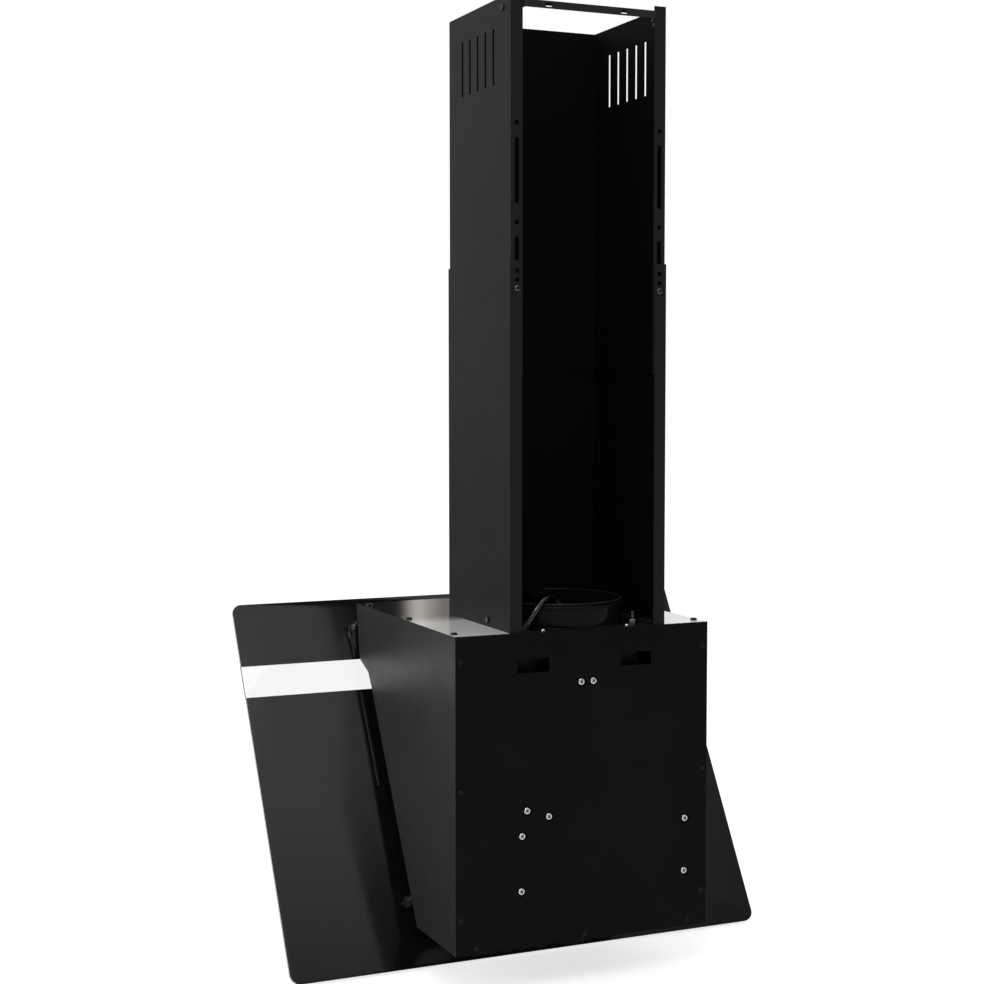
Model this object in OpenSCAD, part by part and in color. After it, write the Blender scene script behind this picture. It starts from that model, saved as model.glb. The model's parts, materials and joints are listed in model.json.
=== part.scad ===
// Wall mount range hood with a sloping glass front and a two-piece chimney.
// Frame: X to the right seen from the front, +Y to the wall, +Z up, in millimetres.
// The origin is on the wall plane, midway between the two hanging holes.
// Inside the modules z = 0 is the top of the body; hung() moves it to the row frame.

/* [Body] */
// Width of the body box
body_w = 308; // [290:2:340]
// Height of the body box
body_h = 346; // [340:1:360]
// Depth of the body at its top
body_d = 317; // [312:1:325]
// Depth of the body at its bottom
base_d = 116; // [112:1:120]
// Sheet thickness of the body panels
sheet = 1; // [0.8:0.1:1.2]
// Distance of the hanging holes below the body top
hang_z = 36; // [30:1:45]
// Distance between the hanging holes
hang_pitch = 126; // [120:1:140]
// Length of a hanging hole
hang_len = 38; // [30:1:42]
// Height of a hanging hole
hang_h = 15; // [10:1:16]

/* [Glass] */
// Width of the glass front
glass_w = 598; // [500:1:698]
// Height of the glass front along its slope
glass_h = 461; // [450:1:480]
// Thickness of the glass
glass_t = 4; // [4:0.5:6]
// Corner radius of the glass
glass_r = 12; // [6:1:20]
// Lean of the glass from the vertical in degrees
lean = 30.75; // [30.5:0.05:31]

/* [Chimney] */
// Outer width of the lower chimney piece
chimney_w = 189; // [184:1:200]
// Depth of the chimney, from the wall plane to its front face
chimney_d = 176; // [167:1:180]
// Sideways offset of the chimney from the middle of the body
chimney_x = -5.3; // [-6:0.1:0]
// Height of the lower chimney piece
lower_h = 400; // [380:1:420]
// Height of the upper chimney piece
upper_h = 402; // [380:1:420]
// Height of the upper piece's bottom edge above the body top
upper_z = 278; // [260:1:290]
// Sheet thickness of the chimney
chimney_t = 1; // [0.8:0.1:1.2]
// Width of the chimney's back lips
lip_w = 13; // [12:1:18]
// Number of vent slots in each side
vent_n = 5; // [3:1:6]
// Distance between vent slots
vent_pitch = 21.7; // [18:0.1:22]
// Height of a vent slot
vent_h = 60; // [40:1:70]

/* [Outlet] */
// Outer diameter of the outlet collar
collar_d = 150; // [149:1:150]
// Height of the outlet collar above the body top
collar_h = 28; // [27:1:32]
// Angle that the raised flap stands open in degrees
flap_open = 25; // [24:1:30]

/* [Filter] */
// Width of the grease filter
filter_w = 262; // [240:1:264]
// Height of the grease filter along the slope
filter_h = 232; // [220:1:232]
// Thickness of the grease filter
filter_t = 9; // [8:0.5:10]

/* [Lights and buttons] */
// Distance between the two lamps
lamp_pitch = 200; // [190:1:210]
// Diameter of a lamp's rim
lamp_d = 60; // [54:1:62]
// Distance between neighbouring buttons
button_pitch = 22; // [20:0.5:22]
// Diameter of a button
button_d = 12; // [10:0.5:13]
// Travel of a button
button_travel = 2.5; // [1.5:0.1:3]

/* [Cord] */
// Diameter of the mains lead
cord_d = 6.5; // [6:0.1:6.6]

/* [Hidden] */
$fn = 48;

hw = body_w / 2;
gap = 0.3;
fit = 0.05;
touch = 0.02;

// Side outline of the body as (y, z): lip, fascia, nose and the slope beside the glass.
nose_y = -body_d + 10;
nose_z = -67;
chin = [-body_d + 54.5, -99];
side_outline = [[-sheet, -sheet], [-body_d, -sheet], [-body_d, -12], [nose_y, nose_z],
    [nose_y + 30.5, nose_z - 12], chin, [-base_d, -body_h], [-sheet, -body_h]];
fascia_line = [[-body_d, -sheet], [-body_d, -12], [nose_y, nose_z], [nose_y + 30.5, nose_z - 12], chin];

// The glass plane: local x across, y down the slope, z to the rear, from the glass's top rear edge.
glass_y = -body_d - 46.4;
glass_z = -0.7;
slope_dir = [sin(lean), -cos(lean)];
slope_nrm = [cos(lean), sin(lean)];
chin_rel = [chin[0] - glass_y, chin[1] - glass_z];
frame_n = chin_rel * slope_nrm;
frame_s = chin_rel * slope_dir + 0.6;
frame_end = ([-base_d, -body_h] - [glass_y, glass_z]) * slope_dir - 1.4;

// Hinge axis of the glass as (y, z) and in the glass plane's own terms.
hinge = [-body_d - 14.5, -32];
hinge_rel = [hinge[0] - glass_y, hinge[1] - glass_z];
hinge_s = hinge_rel * slope_dir;
hinge_n = hinge_rel * slope_nrm;
pin_r = 2.5;
ear_r = 7;
ear_x = hw - 3.5;
ear_t = 2;
knee_t = 3;

// Catches near the glass's lower edge.
catch_s = 386;
catch_x = hw - 8;
catch_w = 6.5;
plunger_r = 3;
strike_n = 8;
strip_s = [124, 243];

// Filter seat, in the glass plane's terms.
filter_s = 164;
filter_n = frame_n + 0.15;
seat_gap = 1;
seat_n = filter_n + filter_t + 0.4;
latch_x = 70;
latch_w = 24;

// Chimney: lips stand clear of the wall for the screw heads.
lip_y = -2.5;
chim_x = chimney_w / 2;
up_x = chim_x - chimney_t - gap;
up_lip_y = lip_y - chimney_t - gap;
up_front = -chimney_d + chimney_t + gap;
clamp_x = chim_x - 8.5;
clamp_z = 370;
slot_r = 2.45;
vent_y0 = -chimney_d + 39.8;
vent_z0 = 312 + upper_z;
bracket_z = upper_z + upper_h - 14;
bracket_x = up_x - lip_w - 1.7;
bracket_y = up_lip_y - 20.2;

// Outlet: collar on a square duct whose floor closes the rear part.
collar_r = collar_d / 2;
collar_t = 2.5;
collar_y = -77;
flap_z = 24;
axle_turn = 20;
axle_r = 2.5;
flap_r = collar_r - collar_t - 2;
axle_half = collar_r - 1.2;
duct_x = collar_r + 1;
duct_y0 = collar_y - 76;
duct_y1 = -20;
duct_t = 1.5;
foot_in = (chim_x - collar_r) / 3;
foot_y = collar_y + 14;
foot_z = 7.7;
duct_floor = -86;
throat_x = 52;
throat_y0 = duct_y0 + duct_t;
throat_y1 = -92;

// Fan: axis along X.
fan_z = -180;
fan_back = 8;
fan_front = 12;
scroll_r = ((-fan_back - glass_y) * cos(lean) + (fan_z - glass_z) * sin(lean)
    - filter_n - filter_t - fan_front) / (1 + cos(lean));
fan_y = -scroll_r - fan_back;
scroll_x = 54;
scroll_t = 2;
wheel_r = scroll_r - 22;
blade_n = 24;
shaft_r = 4;
motor_r = 38;
motor_x0 = 58;
motor_x1 = 112;

// Controls under the bottom panel.
base_z = -body_h;
base_y = -58;
bezel_w = 4 * button_pitch + 32;
bezel_dpt = 22;
button_r = button_d / 2;

// Route of the lead from the strain relief over the collar's rim and down to its coil.
gland_foot = [71, -13.5, 0];
cord_r = cord_d / 2;
coil_c = [28, -82];
coil_r0 = 42;
coil_r1 = 23.5;
coil_z0 = duct_floor + duct_t + cord_r;
coil_z1 = coil_z0 + 7;
cord_route = [[64, -13.5, 8], [58, -13, 16.5], [51.5, -13.5, 25], [43, -17, 31.9], [33.5, -23, 34.8],
    [25.5, -31.5, 33.8], [19.5, -41, 28.6], [16.5, -49, 20], [14, -54, 9.5], [12, -55, -1.5],
    [9, -52.5, -13.5], [4.5, -49, -25], [-1, -46.5, -36.5], [-6.5, -46, -48], [-10.5, -49, -58.5],
    [-13, -56, -67], [-14, -65.5, -72.5], [-14, coil_c[1] + cord_d, coil_z1]];

spin_total = 5.75 * 360;
spin_reverse = 180;
spin_in = (spin_total - spin_reverse) / 2;
tail_len = 43.5;
plug_r = 18;
plug_x = -22;
plug_z = duct_floor + duct_t + plug_r;

// Points of the coil: in along the upper layer, a climb down, out along the lower one.
function ease(t) = t * t * (3 - 2 * t);
function coil_radius(a) = a < spin_in ? coil_r0 - (coil_r0 - coil_r1) * a / spin_in
    : a < spin_in + spin_reverse ? coil_r1 - 1.8 * sin(180 * (a - spin_in) / spin_reverse)
    : coil_r1 + (coil_r0 - coil_r1) * (a - spin_in - spin_reverse) / spin_in;
function coil_height(a) = a < spin_in ? coil_z1
    : a < spin_in + spin_reverse ? coil_z1 - 7 * ease((a - spin_in) / spin_reverse)
    : coil_z0;
function coil_point(a) = [coil_c[0] + coil_radius(a) * cos(180 + a),
    coil_c[1] + coil_radius(a) * sin(180 + a), coil_height(a)];
coil_step = 15;
coil_turns = [for (a = [0 : coil_step : spin_total]) coil_point(a)];
tail_y = coil_c[1] + coil_r0;
tail_rise = plug_z - coil_z0;
coil_tail = [for (i = [1 : 7]) [coil_c[0] - tail_len * i / 7, tail_y,
    coil_z0 + tail_rise / 2 * (1 - cos(180 * i / 7))]];
coil_path = concat([[coil_c[0] - coil_r0, coil_c[1] + cord_d, coil_z1]], coil_turns, coil_tail,
    [[plug_x, tail_y, plug_z]]);

function unit(v) = v / norm(v);
function tangent(p, i) = i == 0 ? unit(p[1] - p[0])
    : i == len(p) - 1 ? unit(p[i] - p[i - 1]) : unit(unit(p[i + 1] - p[i]) + unit(p[i] - p[i - 1]));
function side_of(t, u) = unit(u - (u * t) * t);
function carried(p, i, u) = i == len(p) ? []
    : let(v = side_of(tangent(p, i), u)) concat([v], carried(p, i + 1, v));
function ring(p, i, v, r, n) = let(t = tangent(p, i), w = cross(t, v))
    [for (k = [0 : n - 1]) p[i] + r * (cos(360 * k / n) * v + sin(360 * k / n) * w)];
function bend(p, i) = let(a = norm(p[i] - p[i - 1]), b = norm(p[i + 1] - p[i]), c = norm(p[i + 1] - p[i - 1]),
    k = norm(cross(p[i] - p[i - 1], p[i + 1] - p[i]))) k < 0.001 ? 9999 : a * b * c / (2 * k);
function path_len(p) = len(p) < 2 ? 0 : [for (i = 0, s = 0; i < len(p);
    s = s + (i < len(p) - 1 ? norm(p[i + 1] - p[i]) : 0), i = i + 1) s][len(p) - 1];
function seg_gap(p, i, j) = min([for (t = [0, 0.25, 0.5, 0.75, 1]) norm(p[i] - (p[j] + t * (p[j + 1] - p[j])))]);

echo("lead free length", path_len(cord_route), "least bend", min([for (i = [1 : len(cord_route) - 2]) bend(cord_route, i)]));
echo("coil length", path_len(coil_path), "least self-gap",
    min([for (i = [0 : len(coil_path) - 1]) for (j = [i + 8 : len(coil_path) - 2]) seg_gap(coil_path, i, j)]) - cord_d);

// Helpers.
module hung() {
    translate([0, 0, hang_z]) children();
}
module across(x0, x1) {
    translate([x0, 0, 0]) rotate([90, 0, 90]) linear_extrude(x1 - x0) children();
}
module both_sides() {
    children();
    mirror([1, 0, 0]) children();
}
module on_slope() {
    translate([0, glass_y, glass_z]) rotate([lean - 90, 0, 0]) children();
}
module box(a, b) {
    translate(a) cube(b - a);
}
module rod_x(x0, x1, y, z, r) {
    translate([x0, y, z]) rotate([0, 90, 0]) cylinder(r = r, h = x1 - x0);
}
module rod_y(x, y0, y1, z, r) {
    translate([x, y1, z]) rotate([90, 0, 0]) cylinder(r = r, h = y1 - y0);
}
module rod_z(x, y, z0, z1, r) {
    translate([x, y, z0]) cylinder(r = r, h = z1 - z0);
}
module slot_y(x, z, half, r, y0, y1) {
    rod_y(x - half, y0, y1, z, r);
    rod_y(x + half, y0, y1, z, r);
    box([x - half, y0, z - r], [x + half, y1, z + r]);
}
module slot_up(x, z0, z1, r, y0, y1) {
    rod_y(x, y0, y1, z0, r);
    rod_y(x, y0, y1, z1, r);
    box([x - r, y0, z0], [x + r, y1, z1]);
}
module round_rect(w, h, r) {
    translate([r, 0]) square([w - 2 * r, h]);
    translate([0, r]) square([w, h - 2 * r]);
    for (x = [r, w - r]) for (y = [r, h - r]) translate([x, y]) circle(r);
}
function mitre(p, i, t) = i == 0 ? left_of(p, 0) * t : i == len(p) - 1 ? left_of(p, i - 1) * t
    : let(a = left_of(p, i - 1), b = left_of(p, i)) (a + b) * t / (1 + a * b);
function left_of(p, i) = let(d = unit(p[i + 1] - p[i])) [-d[1], d[0]];
module band(p, t) {
    n = len(p);
    polygon(concat(p, [for (i = [n - 1 : -1 : 0]) p[i] + mitre(p, i, t)]));
}
module swept(p, r, n) {
    frames = carried(p, 0, [0.3, 0.9, 0.3]);
    m = len(p);
    pts = [for (i = [0 : m - 1]) each ring(p, i, frames[i], r, n)];
    skin = [for (i = [0 : m - 2]) for (k = [0 : n - 1]) let(a = i * n + k, b = i * n + (k + 1) % n)
        each [[a, a + n, b], [b, a + n, b + n]]];
    first = [[for (k = [0 : n - 1]) k]];
    last = [[for (k = [n - 1 : -1 : 0]) (m - 1) * n + k]];
    polyhedron(points = pts, faces = concat(skin, first, last), convexity = 10);
}

// Fastener places, as (x, z) on the back and (x, y) on the top.
silver_spots = [[4.3, -57.7], [-10.5, -57.7], [69.7, -195], [43.5, -203.7], [75.7, -222.5],
    [76.4, -283.4], [-hw + 27.7, -222.4], [-hw + 28.4, -282.5]];
edge_rows = [-27, -body_h / 2 + 6, -body_h + 39];
edge_spots = concat([for (k = [-1, 1]) for (z = edge_rows) [k * (hw - 6), z]],
    [for (x = [-hw + 24, 0, hw - 24]) [x, -body_h + 6]]);
top_rows = [-20, -body_d / 2 + 3.5, -body_d + 27];
top_spots = [for (k = [-1, 1]) for (y = top_rows) [k * (hw - 6.5), y]];
dimple_r = 5.5;
dimple_t = 1.7;

// Body box.
module back_panel() {
    color("#11110f") hung() difference() {
        union() {
            box([-hw, -sheet, -body_h], [hw, 0, -sheet]);
            for (s = silver_spots) rod_y(s[0], -sheet - dimple_t, 0, s[1], dimple_r + sheet);
        }
        for (x = [-hang_pitch / 2, hang_pitch / 2])
            translate([x - hang_len / 2, 1, -hang_z - hang_h / 2]) rotate([90, 0, 0])
                linear_extrude(sheet + 2) round_rect(hang_len, hang_h, 1.5);
        for (s = silver_spots) rod_y(s[0], -dimple_t, 1, s[1], dimple_r);
        for (s = silver_spots) rod_y(s[0], -sheet - dimple_t - 1, 1, s[1], 2);
        for (s = edge_spots) rod_y(s[0], -sheet - 1, 1, s[1], 3);
    }
}
module side_panel() {
    difference() {
        union() {
            across(hw - sheet, hw) polygon(side_outline);
            box([hw - 13, -2 * sheet, -body_h + 1], [hw - sheet / 2, -sheet, -2 * sheet]);
            box([hw - 13, -body_d + sheet + 0.1, -2 * sheet], [hw - sheet / 2, -sheet, -sheet]);
        }
        for (s = edge_spots) rod_y(abs(s[0]), -3 * sheet, 1, s[1], 1.6);
        for (s = top_spots) rod_z(abs(s[0]), s[1], -3 * sheet, 1, 1.6);
    }
}
module side_panel_right() {
    color("#2f3030") hung() side_panel();
}
module side_panel_left() {
    color("#2f3030") hung() mirror([1, 0, 0]) side_panel();
}
module top_panel() {
    color("#a5a6a6") hung() difference() {
        box([-hw, -body_d, -sheet], [hw, 0, 0]);
        intersection() {
            rod_z(0, collar_y, -2, 1, collar_r - collar_t);
            box([-duct_x, throat_y0, -3], [duct_x, duct_y1 - duct_t, 2]);
        }
        for (s = top_spots) rod_z(s[0], s[1], -2, 1, 1.6);
        rod_z(gland_foot[0], gland_foot[1], -2, 1, 6);
        rod_z(-66, -15, -2, 1, 3);
        for (s = [[48, -7.5], [-55, -8]]) rod_z(s[0], s[1], -2, 1, 1.5);
        at_chimney() both_sides() rod_z(chim_x - foot_in / 2, foot_y, -2, 1, 1.5);
    }
}
module bottom_panel() {
    color("#1c1c1c") hung() difference() {
        union() {
            box([-hw + sheet, -base_d + 1, base_z], [hw - sheet, -sheet, base_z + sheet]);
            box([-hw + 13.5, -2 * sheet, base_z + sheet / 2], [hw - 13.5, -sheet, base_z + 12]);
        }
        for (x = [-lamp_pitch / 2, lamp_pitch / 2]) rod_z(x, base_y, base_z - 1, base_z + 2, lamp_d / 2 - 4);
        box([-bezel_w / 2 + 2, base_y - bezel_dpt / 2 + 2, base_z - 1],
            [bezel_w / 2 - 2, base_y + bezel_dpt / 2 - 2, base_z + 2]);
        for (s = edge_spots) rod_y(s[0], -3 * sheet, 1, s[1], 1.6);
    }
}
module front_fascia() {
    color("#161616") hung() across(-hw + sheet, hw - sheet) band(fascia_line, sheet);
}
module front_frame() {
    seat_x = filter_w / 2 + seat_gap;
    seat_s0 = filter_s - seat_gap;
    seat_s1 = filter_s + filter_h + seat_gap + 0.5;
    color("#2a2b2b") hung() on_slope() difference() {
        union() {
            box([-hw + sheet, frame_s, frame_n], [hw - sheet, frame_end, frame_n + sheet]);
            box([-seat_x - sheet, seat_s0 - sheet, frame_n], [seat_x + sheet, seat_s1 + sheet, seat_n + sheet]);
        }
        box([-seat_x, seat_s0, frame_n - 1], [seat_x, seat_s1, seat_n]);
        box([-seat_x + 6, seat_s0 + 6, seat_n - 1], [seat_x - 6, seat_s1 - 6, seat_n + 3]);
        for (x = [-latch_x, latch_x]) box([x - 10, seat_s0 - 6, frame_n - 1], [x + 10, seat_s0 + 1, seat_n + 3]);
    }
}

// Glass front and its hinges.
module front_glass() {
    color("#1a1b1b") hung() on_slope() translate([-glass_w / 2, 0, -glass_t])
        linear_extrude(glass_t) round_rect(glass_w, glass_h, glass_r);
}
module glass_hinge() {
    on_slope() difference() {
        union() {
            box([ear_x - 14, hinge_s - 8, 0], [ear_x + 5, hinge_s + 35.3, 2]);
            across(ear_x, ear_x + ear_t) polygon([[hinge_s - 8, 0], [hinge_s + 30, 0],
                [hinge_s + 6, hinge_n + 3], [hinge_s - ear_r, hinge_n]]);
            rod_x(ear_x, ear_x + ear_t, hinge_s, hinge_n, ear_r);
        }
        rod_x(ear_x - 1, ear_x + ear_t + 1, hinge_s, hinge_n, pin_r + fit);
    }
}
module glass_hinge_right() {
    color("#3a3b3c") hung() glass_hinge();
}
module glass_hinge_left() {
    color("#3a3b3c") hung() mirror([1, 0, 0]) glass_hinge();
}
function fascia_y(z) = -body_d + (-12 - z) * 10 / (-12 - nose_z);
module hinge_bracket() {
    x1 = ear_x - 1;
    difference() {
        union() {
            across(x1 - 20, x1) polygon([[fascia_y(-20), -20], [fascia_y(-66), -66],
                [fascia_y(-66) - 2, -66], [fascia_y(-20) - 2, -20]]);
            across(x1 - knee_t, x1) polygon([[fascia_y(-20), -20], [fascia_y(-66), -66],
                [fascia_y(-66) - 3, -66], [hinge[0] - 2, hinge[1] - 6.6], [hinge[0] - 1, hinge[1] + 6.8]]);
            rod_x(x1 - knee_t, x1, hinge[0], hinge[1], ear_r);
        }
        rod_x(x1 - knee_t - 1, x1 + 1, hinge[0], hinge[1], pin_r);
    }
}
module hinge_bracket_right() {
    color("#1b1b1b") hung() hinge_bracket();
}
module hinge_bracket_left() {
    color("#1b1b1b") hung() mirror([1, 0, 0]) hinge_bracket();
}
module hinge_pins() {
    color("#8d8f90") hung() both_sides() {
        rod_x(ear_x - 1 - knee_t - 2, ear_x + ear_t + 0.4, hinge[0], hinge[1], pin_r);
        rod_x(ear_x + ear_t + 0.3, ear_x + ear_t + 1.8, hinge[0], hinge[1], 4.5);
        rod_x(ear_x - 1 - knee_t - 1.5, ear_x - 1 - knee_t, hinge[0], hinge[1], 4.5);
    }
}
module glass_strikes() {
    color("#202020") hung() on_slope() both_sides()
        box([catch_x - catch_w / 2, catch_s - 6, 0], [catch_x + catch_w / 2, catch_s + 6, strike_n]);
}
module glass_strips() {
    color("#b9bbbc") hung() on_slope() both_sides() box([hw - 1.5, strip_s[0], 0], [hw + 1.5, strip_s[1], 1.5]);
}
module catch_housings() {
    color("#242424") hung() on_slope() both_sides() difference() {
        box([catch_x - catch_w / 2, catch_s - 12, frame_n - 12.4], [catch_x + catch_w / 2, catch_s + 12, frame_n]);
        translate([catch_x, catch_s, frame_n - 14]) cylinder(r = plunger_r + fit, h = 11);
    }
}
module catch_plunger() {
    on_slope() translate([catch_x, catch_s, strike_n + gap])
        cylinder(r = plunger_r, h = frame_n - 6.5 - strike_n);
}
module catch_plunger_right() {
    color("#c9cbcc") hung() catch_plunger();
}
module catch_plunger_left() {
    color("#c9cbcc") hung() mirror([1, 0, 0]) catch_plunger();
}

// Grease filter, its mesh and its two finger latches.
module grease_filter() {
    x1 = filter_w / 2;
    s1 = filter_s + filter_h;
    color("#b4b6b7") hung() on_slope() difference() {
        box([-x1, filter_s, filter_n], [x1, s1, filter_n + filter_t]);
        box([-x1 + 12, filter_s + 26, filter_n - 1], [x1 - 12, s1 - 12, filter_n + filter_t + 1]);
        for (x = [-latch_x, latch_x]) {
            box([x - latch_w / 2 - 1, filter_s + 2, filter_n - 1], [x + latch_w / 2 + 1, filter_s + 21, filter_n + 4]);
            box([x - 8.5, filter_s - 1, filter_n - 1], [x + 8.5, filter_s + 3, filter_n + 4]);
        }
    }
}
module filter_mesh() {
    x1 = filter_w / 2 - 12;
    s1 = filter_s + filter_h - 12;
    color("#8f9192") hung() on_slope()
        box([-x1, filter_s + 26, filter_n + 2], [x1, s1, filter_n + filter_t - 2]);
}
module filter_latch() {
    on_slope() {
        box([latch_x - latch_w / 2, filter_s + 2.4, filter_n + gap], [latch_x + latch_w / 2, filter_s + 15, filter_n + 3.7]);
        box([latch_x - 8, filter_s - 4, filter_n + gap], [latch_x + 8, filter_s + 2.4, filter_n + 3.7]);
        box([latch_x - 8, filter_s + 6, filter_n - 3], [latch_x + 8, filter_s + 9, filter_n + gap]);
    }
}
module filter_latch_right() {
    color("#1e1e1e") hung() filter_latch();
}
module filter_latch_left() {
    color("#1e1e1e") hung() mirror([1, 0, 0]) filter_latch();
}

// Lamps and controls in the bottom panel.
module lamp() {
    x = lamp_pitch / 2;
    difference() {
        union() {
            rod_z(x, base_y, base_z - 1.5, base_z, lamp_d / 2);
            rod_z(x, base_y, base_z, base_z + 18, lamp_d / 2 - 4.2);
        }
        rod_z(x, base_y, base_z - 2, base_z + 16, lamp_d / 2 - 6);
    }
}
module lamp_right() {
    color("#9fa1a2") hung() lamp();
}
module lamp_left() {
    color("#9fa1a2") hung() mirror([1, 0, 0]) lamp();
}
module lamp_lenses() {
    color("#e8e8e4") hung() both_sides()
        rod_z(lamp_pitch / 2, base_y, base_z - 1, base_z + 1.5, lamp_d / 2 - 6 - touch);
}
module button_bezel() {
    x1 = bezel_w / 2;
    y1 = bezel_dpt / 2;
    color("#1d1d1d") hung() difference() {
        union() {
            box([-x1, base_y - y1, base_z - 2], [x1, base_y + y1, base_z]);
            box([-x1 + 2.2, base_y - y1 + 2.2, base_z - 1], [x1 - 2.2, base_y + y1 - 2.2, base_z + 2]);
        }
        for (i = [-2 : 2]) rod_z(i * button_pitch, base_y, base_z - 3, base_z + 3, button_r + 0.15);
    }
}
module switch_box() {
    x1 = bezel_w / 2 - 3;
    y1 = bezel_dpt / 2 - 1.5;
    color("#2b2b2b") hung() difference() {
        box([-x1, base_y - y1, base_z + 2], [x1, base_y + y1, base_z + 18]);
        for (i = [-2 : 2]) rod_z(i * button_pitch, base_y, base_z + 1, base_z + 9, button_r + 1.7);
    }
}
module push_button(i) {
    x = (i - 3) * button_pitch;
    rod_z(x, base_y, base_z - 2 - button_travel - gap, base_z + 3.6, button_r);
    rod_z(x, base_y, base_z + 2.1, base_z + 3.6, button_r + 1.2);
}
module button_1() {
    color("#c4c6c7") hung() push_button(1);
}
module button_2() {
    color("#c4c6c7") hung() push_button(2);
}
module button_3() {
    color("#c4c6c7") hung() push_button(3);
}
module button_4() {
    color("#c4c6c7") hung() push_button(4);
}
module button_5() {
    color("#c4c6c7") hung() push_button(5);
}

// Fan.
module fan_outline(r, y0, y1) {
    translate([fan_y, fan_z]) circle(r, $fn = 64);
    translate([y0, fan_z]) square([y1 - y0, duct_floor - fan_z]);
}
module fan_scroll() {
    color("#37393a") hung() difference() {
        across(-scroll_x, scroll_x) fan_outline(scroll_r, duct_y0, throat_y1 + scroll_t);
        across(-scroll_x + scroll_t, scroll_x - scroll_t)
            fan_outline(scroll_r - scroll_t, duct_y0 + scroll_t, throat_y1);
        box([-scroll_x + scroll_t, duct_y0 + scroll_t, duct_floor - 4], [scroll_x - scroll_t, throat_y1, duct_floor + 1]);
        rod_x(-scroll_x - 1, scroll_x + 1, fan_y, fan_z, wheel_r - 10);
    }
}
module fan_motor() {
    color("#5a5c5d") hung() difference() {
        union() {
            rod_x(motor_x0 + 2, motor_x1, fan_y, fan_z, motor_r);
            rod_x(motor_x0 - 14, motor_x0 + 3, fan_y, fan_z, 14);
            rod_x(motor_x1 - 1, motor_x1 + 6, fan_y, fan_z, 12);
        }
        rod_x(motor_x0 - 15, motor_x0 + 14, fan_y, fan_z, shaft_r + fit);
    }
}
module impeller() {
    x0 = -scroll_x + 8;
    x1 = 40;
    color("#6c6e6f") hung() {
        difference() {
            rod_x(x1 - 3, x1, fan_y, fan_z, wheel_r - 2);
            rod_x(x1 - 4, x1 + 1, fan_y, fan_z, shaft_r);
        }
        rod_x(x1 - 14, motor_x0 + 13, fan_y, fan_z, shaft_r);
        difference() {
            rod_x(x1 - 14, x1 - 3, fan_y, fan_z, 12);
            rod_x(x1 - 15, x1 - 2, fan_y, fan_z, shaft_r);
        }
        difference() {
            rod_x(x0, x0 + 3, fan_y, fan_z, wheel_r);
            rod_x(x0 - 1, x0 + 4, fan_y, fan_z, wheel_r - 12);
        }
        for (i = [0 : blade_n - 1]) translate([0, fan_y, fan_z]) rotate([360 * i / blade_n, 0, 0])
            translate([x0 + 1, wheel_r - 11, 0]) rotate([35, 0, 0]) cube([x1 - x0 - 2, 10, 1.5]);
    }
}
module motor_bracket() {
    color("#7d7f80") hung() difference() {
        union() {
            box([scroll_x, fan_y - 44, fan_z - 44], [scroll_x + 2, -5, fan_z + 44]);
            box([scroll_x, -5, fan_z - 48], [scroll_x + 30, -2.8, fan_z + 44]);
            for (a = [45, 135, 225, 315]) translate([0, fan_y, fan_z]) rotate([a, 0, 0]) translate([scroll_x + 1, 30, 0])
                rotate([0, 90, 0]) cylinder(r = 4, h = motor_x0 + 2 - scroll_x - 1);
        }
        rod_x(scroll_x - 1, scroll_x + 3, fan_y, fan_z, 18);
        for (s = [silver_spots[2], silver_spots[4]]) rod_y(s[0], -6, 1, s[1], 2);
    }
}
module capacitor() {
    color("#c8c9c6") hung() {
        rod_y(96, -46, -4, -60, 17);
        rod_y(96, -4, -1 - touch, -60, 4);
    }
}
module terminal_box() {
    color("#3c3d3d") hung() difference() {
        box([-hw + 12, -34, -296], [-hw + 48, -2.8, -208]);
        box([-hw + 14, -32, -294], [-hw + 46, -5, -210]);
        for (s = [silver_spots[6], silver_spots[7]]) rod_y(s[0], -6, 1, s[1], 2);
    }
}

// Outlet duct, collar and its two flaps.
module outlet_duct() {
    color("#1a1a1b") hung() difference() {
        box([-duct_x, duct_y0, duct_floor], [duct_x, duct_y1, -sheet]);
        box([-duct_x + duct_t, duct_y0 + duct_t, duct_floor + duct_t], [duct_x - duct_t, duct_y1 - duct_t, 1]);
        box([-throat_x, throat_y0, duct_floor - 1], [throat_x, throat_y1, duct_floor + duct_t + 1]);
    }
}
module on_axle() {
    translate([0, collar_y, flap_z]) rotate([0, 0, -axle_turn]) children();
}
module duct_collar() {
    color("#1f1f20") hung() difference() {
        union() {
            translate([0, collar_y, 0]) rotate_extrude($fn = 96) polygon([[collar_r - collar_t, 0],
                [collar_r, 0], [collar_r, collar_h - 4], [collar_r - 0.5, collar_h - 3.4],
                [collar_r - 0.5, collar_h - 0.6], [collar_r - 1.1, collar_h], [collar_r - collar_t, collar_h]]);
            intersection() {
                rod_z(0, collar_y, 0, 2, collar_r + 6);
                box([-90, -170, 0], [90, -1, 3]);
            }
        }
        translate([0, collar_y, -1]) cylinder(r = collar_r - collar_t, h = collar_h + 2, $fn = 96);
        for (a = [45, 135, 225, 315]) translate([(collar_r + 3) * cos(a), collar_y + (collar_r + 3) * sin(a), -1])
            cylinder(r = 1.25, h = 4);
        on_axle() rotate([90, 0, 0]) translate([0, 0, -axle_half]) cylinder(r = axle_r, h = 2 * axle_half);
    }
}
module flap_axle() {
    color("#55575a") hung() on_axle() rotate([90, 0, 0]) translate([0, 0, -axle_half])
        cylinder(r = axle_r, h = 2 * axle_half);
}
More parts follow.
